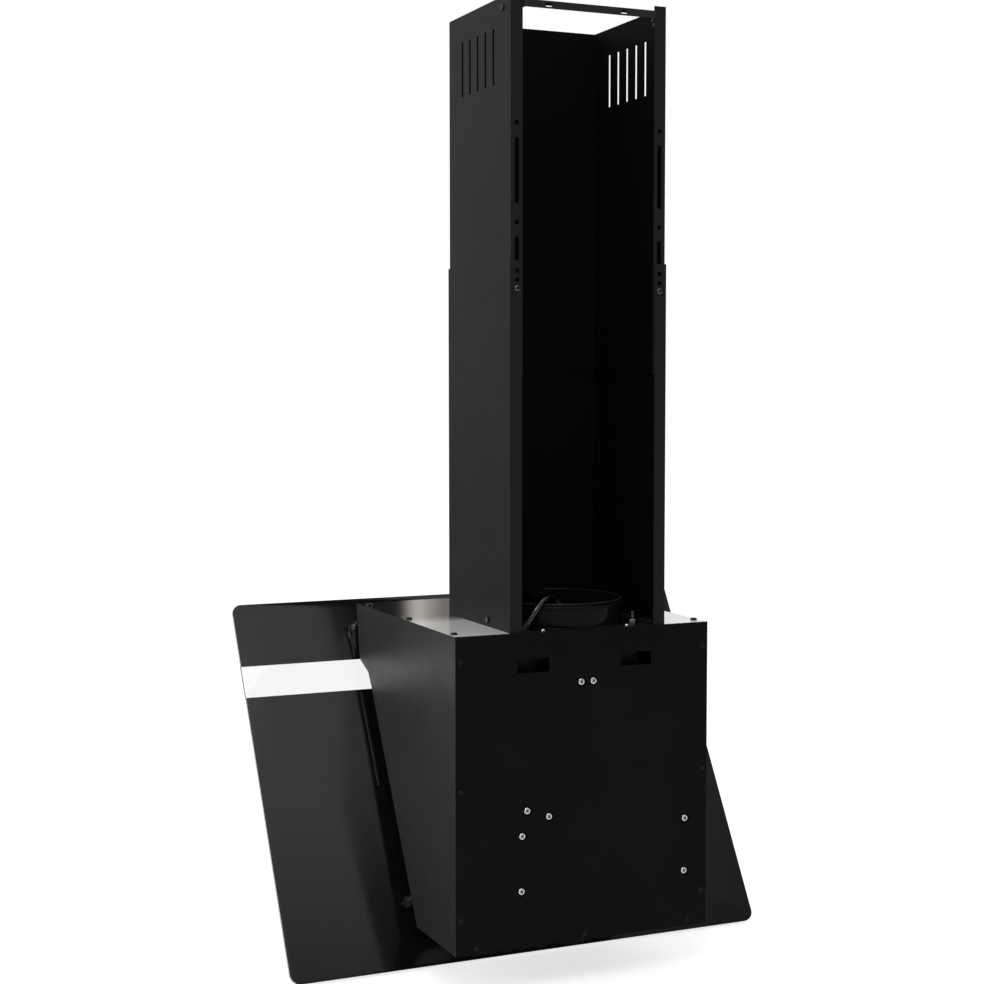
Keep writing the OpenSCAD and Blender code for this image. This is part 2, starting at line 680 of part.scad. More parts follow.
// One half disc on the axle's +x side with two knuckles; places run along the axle from the wall end.
module flap(knuckles, notch) {
    difference() {
        union() {
            intersection() {
                translate([0, 0, -1]) cylinder(r = flap_r, h = 2, $fn = 96);
                box([5.2, -flap_r, -2], [flap_r, flap_r, 2]);
            }
            for (k = knuckles) {
                translate([0, flap_r - k, 0]) rotate([90, 0, 0]) cylinder(r = 4.5, h = 9);
                box([3, flap_r - k - 9, -1], [5.6, flap_r - k, 1]);
            }
        }
        rotate([90, 0, 0]) translate([0, 0, -flap_r]) cylinder(r = axle_r + fit, h = 2 * flap_r);
        if (notch > 0) box([-1, flap_r - notch, -3], [24, flap_r + 1, 3]);
    }
}
module flap_right() {
    color("#19191a") hung() on_axle() rotate([0, -flap_open, 0]) flap([50, 100], 48);
}
module flap_left() {
    color("#19191a") hung() on_axle() mirror([1, 0, 0]) flap([60, 112], 6);
}
module collar_screws() {
    color("#9a9c9d") hung() for (a = [225, 315]) translate([(collar_r + 3) * cos(a), collar_y + (collar_r + 3) * sin(a), 0]) {
        translate([0, 0, 2]) cylinder(r = 2.6, h = 1.8);
        translate([0, 0, 0]) cylinder(r = 1.25 - touch, h = 2.1);
    }
}

// Mains lead.
module cord_gland() {
    p = cord_route[0];
    d = unit(cord_route[1] - cord_route[0]);
    tilt = acos(d[2]);
    turn = atan2(d[1], d[0]);
    color("#151515") hung() difference() {
        union() {
            rod_z(gland_foot[0], gland_foot[1], 0, 2, 9);
            translate(p - 22 * d) rotate([0, tilt, turn]) cylinder(r1 = 6, r2 = cord_r + 0.9, h = 22);
        }
        box([40, -40, -30], [100, 10, 0]);
    }
    color("#151515") hung() difference() {
        rod_z(gland_foot[0], gland_foot[1], -4, 0, 6);
        rod_z(gland_foot[0], gland_foot[1], -5, -1, 3);
    }
}
module power_cord() {
    color("#101010") hung() swept(cord_route, cord_r, 8);
}
module cord_coil() {
    color("#101010") hung() swept(coil_path, cord_r, 6);
}
module mains_plug() {
    color("#141414") hung() {
        difference() {
            union() {
                rod_x(plug_x - 8, plug_x, tail_y, plug_z, cord_r + 2.2);
                rod_x(plug_x - 33, plug_x - 7, tail_y, plug_z, plug_r);
            }
            rod_x(plug_x - 34, plug_x - 33 + 0.01, tail_y, plug_z, plug_r + 1);
        }
        for (y = [-9.5, 9.5]) rod_x(plug_x - 52, plug_x - 32, tail_y + y, plug_z, 2.4);
    }
}

// Chimney.
module at_chimney() {
    translate([chimney_x, 0, 0]) children();
}
module channel(x1, y_lip, y_front, z0, z1, t) {
    difference() {
        box([-x1, y_front, z0], [x1, y_lip, z1]);
        box([-x1 + t, y_front + t, z0 - 1], [x1 - t, y_lip - t, z1 + 1]);
        box([-x1 + lip_w + 1, y_lip - t - 1, z0 - 1], [x1 - lip_w - 1, y_lip + 1, z1 + 1]);
    }
}
module chimney_lower() {
    color("#2c2d2d") hung() at_chimney() difference() {
        channel(chim_x, lip_y, -chimney_d, 0, lower_h, chimney_t);
        for (x = [-clamp_x, clamp_x]) {
            box([x - 2.2, lip_y - 3, 386.8], [x + 2.2, 1, 391.2]);
            box([x - 2.2, lip_y - 3, 376.8], [x + 2.2, 1, 381.2]);
            rod_y(x, lip_y - 3, 1, clamp_z, 2);
        }
        rod_x(-chim_x - 1, chim_x + 1, foot_y, foot_z, 2);
    }
}
module chimney_upper() {
    color("#2c2d2d") hung() at_chimney() difference() {
        channel(up_x, up_lip_y, up_front, upper_z, upper_z + upper_h, chimney_t);
        for (x = [-clamp_x, clamp_x]) {
            rod_y(x, up_lip_y - 3, 1, upper_z + 267, 2.5);
            slot_up(x, upper_z + 184.5, upper_z + 249, slot_r, up_lip_y - 3, 1);
            rod_y(x, up_lip_y - 3, 1, upper_z + 162, 2.5);
            slot_up(x, upper_z + 79.5, upper_z + 144.5, slot_r, up_lip_y - 3, 1);
        }
        for (i = [0 : vent_n - 1]) translate([0, vent_y0 + i * vent_pitch, 0])
            box([-up_x - 1, -2.5, vent_z0], [up_x + 1, 2.5, vent_z0 + vent_h]);
        rod_x(-up_x - 1, up_x + 1, bracket_y, bracket_z + 2, 2);
    }
}
module chimney_bracket() {
    x1 = up_x - chimney_t;
    yb = up_lip_y - chimney_t;
    color("#3a3b3b") hung() at_chimney() difference() {
        union() {
            box([-bracket_x, -1.2, bracket_z], [bracket_x, 0, bracket_z + 8]);
            box([-bracket_x, -19, bracket_z + 7], [bracket_x, 0, bracket_z + 8]);
            both_sides() {
                box([bracket_x - 1, yb - 1.2, bracket_z], [bracket_x + 0.2, 0, bracket_z + 8]);
                box([bracket_x - 1, yb - 1.2, bracket_z], [x1, yb, bracket_z + 8]);
                box([x1 - 1.2, -30, bracket_z - 3], [x1, yb, bracket_z + 8]);
            }
        }
        for (x = [-45, 45]) slot_y(x - chimney_x, bracket_z + 4, 2.25, 2.25, -3, 1);
        rod_x(-up_x - 1, up_x + 1, bracket_y, bracket_z + 2, 2);
    }
}

// Fasteners.
module clamp_screws() {
    color("#121212") hung() at_chimney() both_sides() {
        rod_y(clamp_x, lip_y, -0.6, clamp_z, 3.6);
        rod_y(clamp_x, up_lip_y - chimney_t - 5, lip_y + touch, clamp_z, 2 - touch);
        rod_y(clamp_x, up_lip_y - chimney_t - gap - 3.2, up_lip_y - chimney_t - gap, clamp_z, 4);
    }
}
module foot_screws() {
    color("#4b4c4d") hung() at_chimney() both_sides() {
        rod_x(chim_x, chim_x + 1.8, foot_y, foot_z, 3.4);
        rod_x(chim_x - 4.6, chim_x + touch, foot_y, foot_z, 2 - touch);
        difference() {
            box([chim_x - chimney_t - 1.5, foot_y - 7, 0], [chim_x - chimney_t, foot_y + 7, 13]);
            rod_x(chim_x - 5, chim_x, foot_y, foot_z, 2);
        }
        box([chim_x - chimney_t - foot_in, foot_y - 7, 0], [chim_x - chimney_t - 1.5 + touch, foot_y + 7, 1.5]);
    }
}
module bracket_screws() {
    color("#8b8d8e") hung() at_chimney() both_sides() {
        rod_x(up_x, up_x + 1.8, bracket_y, bracket_z + 2, 3.4);
        rod_x(up_x - 6, up_x + touch, bracket_y, bracket_z + 2, 2 - touch);
    }
}
module back_screws() {
    color("#c6c8c9") hung() for (s = silver_spots) {
        rod_y(s[0], -dimple_t, -0.1, s[1], 3.8);
        rod_y(s[0], -8, -dimple_t + touch, s[1], 2 - touch);
    }
}
module edge_screws() {
    color("#101010") hung() for (s = edge_spots) {
        rod_y(s[0], -sheet, -0.1, s[1], 3 - touch);
        rod_y(s[0], -6, -sheet + touch, s[1], 1.6 - touch);
    }
}
module top_screws() {
    color("#0f0f0f") hung() for (s = top_spots) {
        rod_z(s[0], s[1], 0, 2.2, 3.8);
        rod_z(s[0], s[1], -6, touch, 1.6 - touch);
    }
}
module earth_stud() {
    color("#d6d7d8") hung() {
        rod_z(-66, -15, -6, 15, 3 - touch);
        difference() {
            rod_z(-66, -15, 0, 1, 7);
            rod_z(-66, -15, -1, 2, 3);
        }
        translate([-66, -15, 1]) difference() {
            cylinder(r = 6, h = 5, $fn = 6);
            translate([0, 0, -1]) cylinder(r = 3, h = 7);
        }
        for (s = [[48, -7.5], [-55, -8]]) {
            rod_z(s[0], s[1], 0, 2, 3);
            rod_z(s[0], s[1], -4, touch, 1.5 - touch);
        }
    }
}

back_panel();
side_panel_right();
side_panel_left();
top_panel();
bottom_panel();
front_fascia();
front_frame();
front_glass();
glass_hinge_right();
glass_hinge_left();
hinge_bracket_right();
hinge_bracket_left();
hinge_pins();
glass_strikes();
glass_strips();
catch_housings();
catch_plunger_right();
catch_plunger_left();
grease_filter();
filter_mesh();
filter_latch_right();
filter_latch_left();
lamp_right();
lamp_left();
lamp_lenses();
button_bezel();
switch_box();
button_1();
button_2();
button_3();
button_4();
button_5();
fan_scroll();
fan_motor();
impeller();
motor_bracket();
outlet_duct();
duct_collar();
flap_axle();
flap_right();
flap_left();
capacitor();
terminal_box();
cord_gland();
power_cord();
cord_coil();
mains_plug();
chimney_lower();
chimney_upper();
chimney_bracket();
clamp_screws();
foot_screws();
bracket_screws();
back_screws();
edge_screws();
top_screws();
earth_stud();
collar_screws();
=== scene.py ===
import json
import math
import bmesh
import bpy
from mathutils import Matrix, Vector


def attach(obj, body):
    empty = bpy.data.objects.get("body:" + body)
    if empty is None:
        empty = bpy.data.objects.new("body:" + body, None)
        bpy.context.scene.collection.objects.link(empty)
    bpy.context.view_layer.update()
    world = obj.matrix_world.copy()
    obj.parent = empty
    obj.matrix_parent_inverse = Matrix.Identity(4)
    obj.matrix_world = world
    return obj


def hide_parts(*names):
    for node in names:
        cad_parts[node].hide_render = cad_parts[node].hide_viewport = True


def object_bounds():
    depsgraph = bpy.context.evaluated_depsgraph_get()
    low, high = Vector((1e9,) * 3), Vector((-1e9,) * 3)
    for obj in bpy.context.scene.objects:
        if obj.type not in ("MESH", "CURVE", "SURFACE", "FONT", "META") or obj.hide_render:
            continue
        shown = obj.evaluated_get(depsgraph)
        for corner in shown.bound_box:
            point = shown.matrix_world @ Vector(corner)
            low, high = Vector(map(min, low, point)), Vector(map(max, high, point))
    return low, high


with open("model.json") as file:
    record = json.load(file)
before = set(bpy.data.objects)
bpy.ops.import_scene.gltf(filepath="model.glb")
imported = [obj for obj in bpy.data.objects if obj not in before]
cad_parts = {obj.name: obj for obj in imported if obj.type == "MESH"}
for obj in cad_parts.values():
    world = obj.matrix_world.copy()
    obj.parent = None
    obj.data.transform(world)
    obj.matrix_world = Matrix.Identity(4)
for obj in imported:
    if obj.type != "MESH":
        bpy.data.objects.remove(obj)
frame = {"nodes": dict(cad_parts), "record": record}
cadLow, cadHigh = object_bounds()
nodes = frame["nodes"]
slotOf = {entry["node"]: entry["material_slot"] for entry in frame["record"]["subparts"]}
bodies = frame["record"]["behaviour"]["bodies"]
nodeBody = {node: body for body, names in bodies.items() for node in names}

topZ = 0.036                                      # height of the body top above the hanging holes
leanAngle = math.radians(30.75)                   # lean of the glass from the vertical
slopeStart = Vector((0, -0.3634, topZ - 0.0007))  # upper end of the glass
chimneyMiddle = -0.0053                           # the chimney stands to one side of the body
millimetres = 1000                                # in a metre
bevelSamples = 4


def deselectAll():
    if bpy.context.object and bpy.context.object.mode != "OBJECT":
        bpy.ops.object.mode_set(mode="OBJECT")
    bpy.ops.object.select_all(action="DESELECT")


def makeActive(obj):
    deselectAll()
    obj.select_set(True)
    bpy.context.view_layer.objects.active = obj


# camera
cameraSettings = {"place": (0.8614, 1.7176, 0.3089), "yaw": 23.585, "pitch": -3.644, "roll": 0.05,
                  "lens": 64.55, "sensor": 36, "nearest": 0.05}


def makeCamera(s):
    yaw, pitch = math.radians(s["yaw"]), math.radians(s["pitch"])
    level = math.cos(pitch)
    ahead = Vector((-math.sin(yaw) * level, -math.cos(yaw) * level, math.sin(pitch)))
    right = ahead.cross(Vector((0, 0, 1))).normalized()
    up = right.cross(ahead)
    turn = Matrix.Rotation(math.radians(s["roll"]), 3, ahead)
    right, up = turn @ right, turn @ up
    data = bpy.data.cameras.new("camera")
    data.lens = s["lens"]
    data.sensor_width = s["sensor"]
    data.clip_start = s["nearest"]
    camera = bpy.data.objects.new("camera", data)
    camera.matrix_world = Matrix((right, up, -ahead)).transposed().to_4x4()
    camera.location = s["place"]
    bpy.context.scene.collection.objects.link(camera)
    bpy.context.scene.camera = camera


makeCamera(cameraSettings)
print("camera set")

# mains lead
# the route's points are those of the solids, in millimetres from the body top
leadSettings = {
    "diameter": 0.0065,
    "route": [(64, -13.5, 8), (58, -13, 16.5), (51.5, -13.5, 25), (43, -17, 31.9), (33.5, -23, 34.8),
              (25.5, -31.5, 33.8), (19.5, -41, 28.6), (16.5, -49, 20), (14, -54, 9.5), (12, -55, -1.5),
              (9, -52.5, -13.5), (4.5, -49, -25), (-1, -46.5, -36.5), (-6.5, -46, -48),
              (-10.5, -49, -58.5), (-13, -56, -67), (-14, -65.5, -72.5), (-14, -75.5, -74.25)],
    "coilCentre": (28, -82), "outerRadius": 42, "innerRadius": 23.5, "lowZ": -81.25, "highZ": -74.25,
    "turn": 2070, "reverse": 180, "step": 15, "pull": 1.8, "tail": 43.5, "tailSteps": 7,
    "plugX": -22, "plugZ": -66.5, "bevelSteps": 5, "curveSteps": 6,
}


def ease(t):
    return t * t * (3 - 2 * t)


def coilPoints(s):
    # winds inwards on the upper layer, then outwards on the lower one, then runs to the plug
    centreX, centreY = s["coilCentre"]
    outer, inner, lowZ, highZ = s["outerRadius"], s["innerRadius"], s["lowZ"], s["highZ"]
    inward = (s["turn"] - s["reverse"]) / 2
    points = [(centreX - outer, centreY + s["diameter"] * millimetres, highZ)]
    for a in range(0, s["turn"] + 1, s["step"]):
        if a < inward:
            radius, z = outer - (outer - inner) * a / inward, highZ
        elif a < inward + s["reverse"]:
            t = (a - inward) / s["reverse"]
            radius, z = inner - s["pull"] * math.sin(math.pi * t), highZ - (highZ - lowZ) * ease(t)
        else:
            radius, z = inner + (outer - inner) * (a - inward - s["reverse"]) / inward, lowZ
        turn = math.radians(180 + a)
        points.append((centreX + radius * math.cos(turn), centreY + radius * math.sin(turn), z))
    tailY = centreY + outer
    for i in range(1, s["tailSteps"] + 1):
        rise = (s["plugZ"] - lowZ) / 2 * (1 - math.cos(math.pi * i / s["tailSteps"]))
        points.append((centreX - s["tail"] * i / s["tailSteps"], tailY, lowZ + rise))
    points.append((s["plugX"], tailY, s["plugZ"]))
    return points


def makeLead(name, points, s):
    data = bpy.data.curves.new(name, "CURVE")
    data.dimensions = "3D"
    data.bevel_depth = 1.0        # each knot carries the real radius
    data.bevel_resolution = s["bevelSteps"]
    data.resolution_u = s["curveSteps"]
    data.use_fill_caps = True
    spline = data.splines.new("BEZIER")
    spline.bezier_points.add(len(points) - 1)
    for knot, p in zip(spline.bezier_points, points):
        knot.co = (p[0] / millimetres, p[1] / millimetres, p[2] / millimetres + topZ)
        knot.handle_left_type = knot.handle_right_type = "AUTO"
        knot.radius = s["diameter"] / 2
    lead = bpy.data.objects.new(name, data)
    bpy.context.scene.collection.objects.link(lead)
    return lead


freeLead = makeLead("free_lead", leadSettings["route"], leadSettings)
coiledLead = makeLead("coiled_lead", coilPoints(leadSettings), leadSettings)
for piece, node in ((freeLead, "power_cord"), (coiledLead, "cord_coil")):
    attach(piece, "hood_body")
    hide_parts(node)
print("mains lead laid")


# finishes
def startMaterial(name):
    # gives back the material, its tree and shader, and the object coordinates
    material = bpy.data.materials.new(name)
    material.use_nodes = True
    tree = material.node_tree
    shader = tree.nodes["Principled BSDF"]
    coords = tree.nodes.new("ShaderNodeTexCoord")
    return material, tree, shader, coords.outputs["Object"]


def stretched(tree, vector, scale):
    mapping = tree.nodes.new("ShaderNodeMapping")
    mapping.inputs["Scale"].default_value = scale
    tree.links.new(vector, mapping.inputs["Vector"])
    return mapping.outputs["Vector"]


def noise(tree, vector, scale, detail, rough=0.5):
    node = tree.nodes.new("ShaderNodeTexNoise")
    node.inputs["Scale"].default_value = scale
    node.inputs["Detail"].default_value = detail
    node.inputs["Roughness"].default_value = rough
    tree.links.new(vector, node.inputs["Vector"])
    return node.outputs["Fac"]


def ranged(tree, value, low, high, fromLow=0.3, fromHigh=0.7):
    # without a range of its own, the middle of what a noise gives is spread
    node = tree.nodes.new("ShaderNodeMapRange")
    limits = {"From Min": fromLow, "From Max": fromHigh, "To Min": low, "To Max": high}
    for key, number in limits.items():
        node.inputs[key].default_value = number
    tree.links.new(value, node.inputs["Value"])
    return node.outputs["Result"]


def feed(tree, value, socket):
    # a socket is linked, a colour or a number is set
    if hasattr(value, "links"):
        tree.links.new(value, socket)
    else:
        socket.default_value = (*value, 1) if isinstance(value, tuple) else value


def calculated(tree, operation, *values):
    node = tree.nodes.new("ShaderNodeMath")
    node.operation = operation
    for socket, value in zip(node.inputs, values):
        feed(tree, value, socket)
    return node.outputs[0]


# sockets of a mix node: its two values and its result
mixSockets = {"FLOAT": (2, 3, 0), "RGBA": (6, 7, 2)}


def blended(tree, factor, first, second, kind="RGBA"):
    node = tree.nodes.new("ShaderNodeMix")
    node.data_type = kind
    start, end, result = mixSockets[kind]
    tree.links.new(factor, node.inputs["Factor"])
    feed(tree, first, node.inputs[start])
    feed(tree, second, node.inputs[end])
    return node.outputs[result]


def coloured(tree, shader, cloud, s):
    # the colour wanders between the dark and the light one
    tree.links.new(blended(tree, ranged(tree, cloud, 0, 1), s["dark"], s["light"]),
                   shader.inputs["Base Color"])


def bumped(tree, shader, height, strength, distance, edge=0):
    # fine relief, on edges that the bevel node rounds
    bump = tree.nodes.new("ShaderNodeBump")
    bump.inputs["Strength"].default_value = strength
    bump.inputs["Distance"].default_value = distance
    tree.links.new(height, bump.inputs["Height"])
    if edge:
        bevel = tree.nodes.new("ShaderNodeBevel")
        bevel.samples = bevelSamples
        bevel.inputs["Radius"].default_value = edge
        tree.links.new(bevel.outputs["Normal"], bump.inputs["Normal"])
    tree.links.new(bump.outputs["Normal"], shader.inputs["Normal"])


# the detail of a noise is its number of octaves, with its roughness where that isn't a half
paintDefaults = {
    "cloud": 9, "cloudDetail": 4, "marks": 28, "marksDetail": (5, 0.62), "marksWay": (1, 1, 2.2),
    "peel": 620, "peelDetail": (2, 0.6), "peelStrength": 0.16, "bump": 0.0002, "edge": 0.0005,
    "specular": 0.5, "coat": 0, "coatRough": 0.08,
}
metalDefaults = {
    "cloud": 14, "cloudDetail": 4, "lines": 1, "lineDetail": (4, 0.65), "lineStrength": 0.1,
    "bump": 0.0001, "edge": 0.0004,
}
castDefaults = {
    "cloud": 40, "cloudDetail": 3, "spark": 900, "sparkStrength": 0.12, "bump": 0.0002, "edge": 0.0004,
    "specular": 0.5,
}


def paintFinish(name, given):
    # baked paint: slight cloud in the colour, fine orange peel, handling marks in the gloss
    s = {**paintDefaults, **given}
    material, tree, shader, place = startMaterial(name)
    coloured(tree, shader, noise(tree, place, s["cloud"], s["cloudDetail"]), s)
    marks = noise(tree, stretched(tree, place, s["marksWay"]), s["marks"], *s["marksDetail"])
    tree.links.new(ranged(tree, marks, *s["gloss"]), shader.inputs["Roughness"])
    peel = noise(tree, place, s["peel"], *s["peelDetail"])
    bumped(tree, shader, peel, s["peelStrength"], s["bump"], s["edge"])
    shader.inputs["Specular IOR Level"].default_value = s["specular"]
    if s["coat"]:
        shader.inputs["Coat Weight"].default_value = s["coat"]
        shader.inputs["Coat Roughness"].default_value = s["coatRough"]
    return material


def metalFinish(name, given):
    # rolled or brushed metal: fine lines along the grain, faint cloud, rounded edges
    s = {**metalDefaults, **given}
    material, tree, shader, place = startMaterial(name)
    lines = noise(tree, stretched(tree, place, s["grain"]), s["lines"], *s["lineDetail"])
    cloud = noise(tree, place, s["cloud"], s["cloudDetail"])
    both = calculated(tree, "MULTIPLY_ADD", lines, 0.5, calculated(tree, "MULTIPLY", cloud, 0.5))
    coloured(tree, shader, both, s)
    tree.links.new(ranged(tree, both, *s["gloss"]), shader.inputs["Roughness"])
    bumped(tree, shader, lines, s["lineStrength"], s["bump"], s["edge"])
    shader.inputs["Metallic"].default_value = 1.0
    return material


def castFinish(name, given):
    # moulded plastic or rubber: fine sparked texture and soft gloss
    s = {**castDefaults, **given}
    material, tree, shader, place = startMaterial(name)
    cells = tree.nodes.new("ShaderNodeTexVoronoi")
    cells.inputs["Scale"].default_value = s["spark"]
    tree.links.new(place, cells.inputs["Vector"])
    cloud = noise(tree, place, s["cloud"], s["cloudDetail"])
    coloured(tree, shader, cloud, s)
    tree.links.new(ranged(tree, cloud, *s["gloss"]), shader.inputs["Roughness"])
    bumped(tree, shader, cells.outputs["Distance"], s["sparkStrength"], s["bump"], s["edge"])
    shader.inputs["Specular IOR Level"].default_value = s["specular"]
    return material


finishSettings = {
    "dark_enamel": (paintFinish, {"dark": (0.0028, 0.0029, 0.0026), "light": (0.0048, 0.0049, 0.0043),
                                  "gloss": (0.3, 0.42), "specular": 0.08}),
    # the side panels' enamel is a lighter copy of the body's black enamel: its brighter colour is
    # painted light
    "side_enamel": (paintFinish, {"dark": (0.0186, 0.0186, 0.0184), "light": (0.0256, 0.0256, 0.0254),
                                  "gloss": (0.34, 0.46), "specular": 0.22, "peelStrength": 0.1}),
    "top_steel": (metalFinish, {"dark": (0.34, 0.345, 0.35), "light": (0.42, 0.425, 0.43),
                                "gloss": (0.09, 0.13), "grain": (4, 900, 900)}),
    "hinge_steel": (metalFinish, {"dark": (0.035, 0.036, 0.037), "light": (0.06, 0.061, 0.062),
                                  "gloss": (0.25, 0.38), "grain": (500, 20, 20)}),
    "zinc": (metalFinish, {"dark": (0.3, 0.31, 0.32), "light": (0.45, 0.46, 0.47),
                           "gloss": (0.22, 0.36), "grain": (260, 260, 260), "cloud": 60}),
    "bright_screw": (metalFinish, {"dark": (0.86, 0.86, 0.86), "light": (0.95, 0.95, 0.95),
                                   "gloss": (0.12, 0.24), "grain": (300, 300, 300), "edge": 0.0003}),
    "black_screw": (paintFinish, {"dark": (0.002, 0.002, 0.002), "light": (0.004, 0.004, 0.004),
                                  "gloss": (0.1, 0.16), "edge": 0.0003, "peel": 900, "specular": 0.3}),
    "stud_steel": (metalFinish, {"dark": (0.08, 0.081, 0.082), "light": (0.14, 0.141, 0.142),
                                 "gloss": (0.14, 0.24), "grain": (300, 300, 300), "edge": 0.0003}),
    "clamp_black": (paintFinish, {"dark": (0.004, 0.004, 0.004), "light": (0.006, 0.006, 0.006),
                                  "gloss": (0.12, 0.18), "edge": 0.0003, "peel": 900, "specular": 0.9,
                                  "coat": 1.0}),
    # a lighter finish for the collar's upper rim, a painted highlight
    "rim_highlight": (castFinish, {"dark": (0.02, 0.02, 0.02), "light": (0.05, 0.05, 0.05),
                              "gloss": (0.2, 0.3), "cloud": 14, "edge": 0, "sparkStrength": 0.02}),
    "galvanised": (metalFinish, {"dark": (0.22, 0.23, 0.24), "light": (0.42, 0.43, 0.44),
                                 "gloss": (0.3, 0.5), "grain": (90, 90, 90), "cloud": 45}),
    "motor_grey": (paintFinish, {"dark": (0.065, 0.069, 0.073), "light": (0.09, 0.094, 0.1),
                                 "gloss": (0.4, 0.55)}),
    "satin_aluminium": (metalFinish, {"dark": (0.5, 0.51, 0.52), "light": (0.62, 0.63, 0.64),
                                      "gloss": (0.22, 0.36), "grain": (6, 700, 700)}),
    "gloss_black": (castFinish, {"dark": (0.003, 0.003, 0.0032), "light": (0.0052, 0.0052, 0.0056),
                                 "gloss": (0.12, 0.2), "specular": 0.09, "sparkStrength": 0.02}),
    "black_plastic": (castFinish, {"dark": (0.003, 0.003, 0.003), "light": (0.006, 0.006, 0.006),
                                   "gloss": (0.4, 0.56), "specular": 0.25}),
    "white_plastic": (castFinish, {"dark": (0.52, 0.52, 0.49), "light": (0.6, 0.6, 0.57),
                                   "gloss": (0.4, 0.55)}),
    "rubber_black": (castFinish, {"dark": (0.005, 0.005, 0.005), "light": (0.011, 0.011, 0.011),
                                  "gloss": (0.5, 0.7), "spark": 1400}),
    "cord_rubber": (castFinish, {"dark": (0.004, 0.004, 0.004), "light": (0.007, 0.007, 0.007),
                                 "gloss": (0.12, 0.18), "specular": 0.8, "spark": 1500,
                                 "sparkStrength": 0.05, "edge": 0}),
    "lamp_glass": (castFinish, {"dark": (0.72, 0.72, 0.7), "light": (0.8, 0.8, 0.78),
                                "gloss": (0.2, 0.34), "spark": 500, "sparkStrength": 0.2}),
    "black_glass": (paintFinish, {"dark": (0.004, 0.004, 0.0041), "light": (0.0055, 0.0055, 0.0056),
                                  "gloss": (0.11, 0.15), "peelStrength": 0.008, "peel": 90,
                                  "specular": 0.45}),
}
finishes = {name: make(name, settings) for name, (make, settings) in finishSettings.items()}


def opened(material):
    # gives back what a second layer on a finish needs
    tree = material.node_tree
    coords = next(node for node in tree.nodes if node.type == "TEX_COORD")
    parts = tree.nodes.new("ShaderNodeSeparateXYZ")
    tree.links.new(coords.outputs["Object"], parts.inputs[0])
    return tree, tree.nodes["Principled BSDF"], parts.outputs["X"], parts.outputs["Y"]


def fromMiddle(tree, x):
    return calculated(tree, "ABSOLUTE", calculated(tree, "SUBTRACT", x, chimneyMiddle))


def insideShadedMatt(material, s):
    # the inner faces of the chimney are matt, and their darker colour is painted shade
    tree, shader, x, y = opened(material)
    inner = calculated(tree, "LESS_THAN", fromMiddle(tree, x), s["halfWidth"])
    for operation, limit in (("LESS_THAN", s["rear"]), ("GREATER_THAN", s["front"])):
        inner = calculated(tree, "MULTIPLY", inner, calculated(tree, operation, y, limit))
    for name, value, kind in (("Base Color", s["color"], "RGBA"), ("Roughness", s["rough"], "FLOAT")):
        socket = shader.inputs[name]
        tree.links.new(blended(tree, inner, socket.links[0].from_socket, value, kind), socket)
    return material


def dress(obj, material):
    obj.data.materials.clear()
    obj.data.materials.append(material)


for entry in frame["record"]["subparts"]:
    dress(nodes[entry["node"]], finishes[entry["material_slot"]])
for lead in (freeLead, coiledLead):
    dress(lead, finishes["cord_rubber"])
chimneySettings = {
    "paint": {"dark": (0.0155, 0.0158, 0.016), "light": (0.0175, 0.0178, 0.018), "gloss": (0.36, 0.42),
              "specular": 0.03, "peelStrength": 0.08},
    # the darker colour inside the chimney is painted shade
    "inside": {"color": (0.004, 0.004, 0.004), "rough": 0.62},
    "walls": {"chimney_lower": {"halfWidth": 0.094, "rear": -0.003, "front": -0.1755},
              "chimney_upper": {"halfWidth": 0.0927, "rear": -0.0043, "front": -0.1742}},
}
for nodeName, walls in chimneySettings["walls"].items():
    paint = paintFinish(nodeName + "_enamel", chimneySettings["paint"])
    dress(nodes[nodeName], insideShadedMatt(paint, {**chimneySettings["inside"], **walls}))


def satinRear(material, s):
    # the rear of the steel top panel is more matt than its front, and scatters light
    tree, shader, x, y = opened(material)
    colour = shader.inputs["Base Color"]
    tree.links.new(ranged(tree, y, 1, s["metal"], *s["from"]), shader.inputs["Metallic"])
    lit = blended(tree, ranged(tree, y, 0, 1, *s["from"]), colour.links[0].from_socket, s["color"])
    # painted shade darkens the panel under the chimney, and the panel is also dark along its rear edge
    chimneyShade = calculated(tree, "MULTIPLY", ranged(tree, fromMiddle(tree, x), 1, 0, *s["beside"]),
                       ranged(tree, y, 0, 1, *s["behind"]))
    rear = ranged(tree, y, 0, 1, *s["rearEdge"])
    tree.links.new(blended(tree, rear, blended(tree, chimneyShade, lit, s["darkTone"]), s["darkTone"]), colour)


topSettings = {"from": (-0.165, -0.115), "metal": 0.15, "color": (0.98, 0.98, 0.98), "upward": 0.5,
               # beside and behind bound the painted shade under the chimney, rearEdge the dark rear
               # strip
               "beside": (0.0925, 0.0945), "behind": (-0.1785, -0.1765), "rearEdge": (-0.0035, -0.0025),
               "darkTone": (0.03, 0.03, 0.03)}
satinRear(finishes["top_steel"], topSettings)
# the rim of the steel top panel is painted
nodes["top_panel"].data.materials.append(finishes["dark_enamel"])
for face in nodes["top_panel"].data.polygons:
    face.material_index = 0 if face.normal.z > topSettings["upward"] else 1
print("finishes on", len(nodes), "nodes")


# modelling helpers
# limits of the z part of a direction, and of what counts as straight along an axis
slant = {"flat": 0.1, "upright": 0.9, "straight": 0.999, "facing": 0.99}


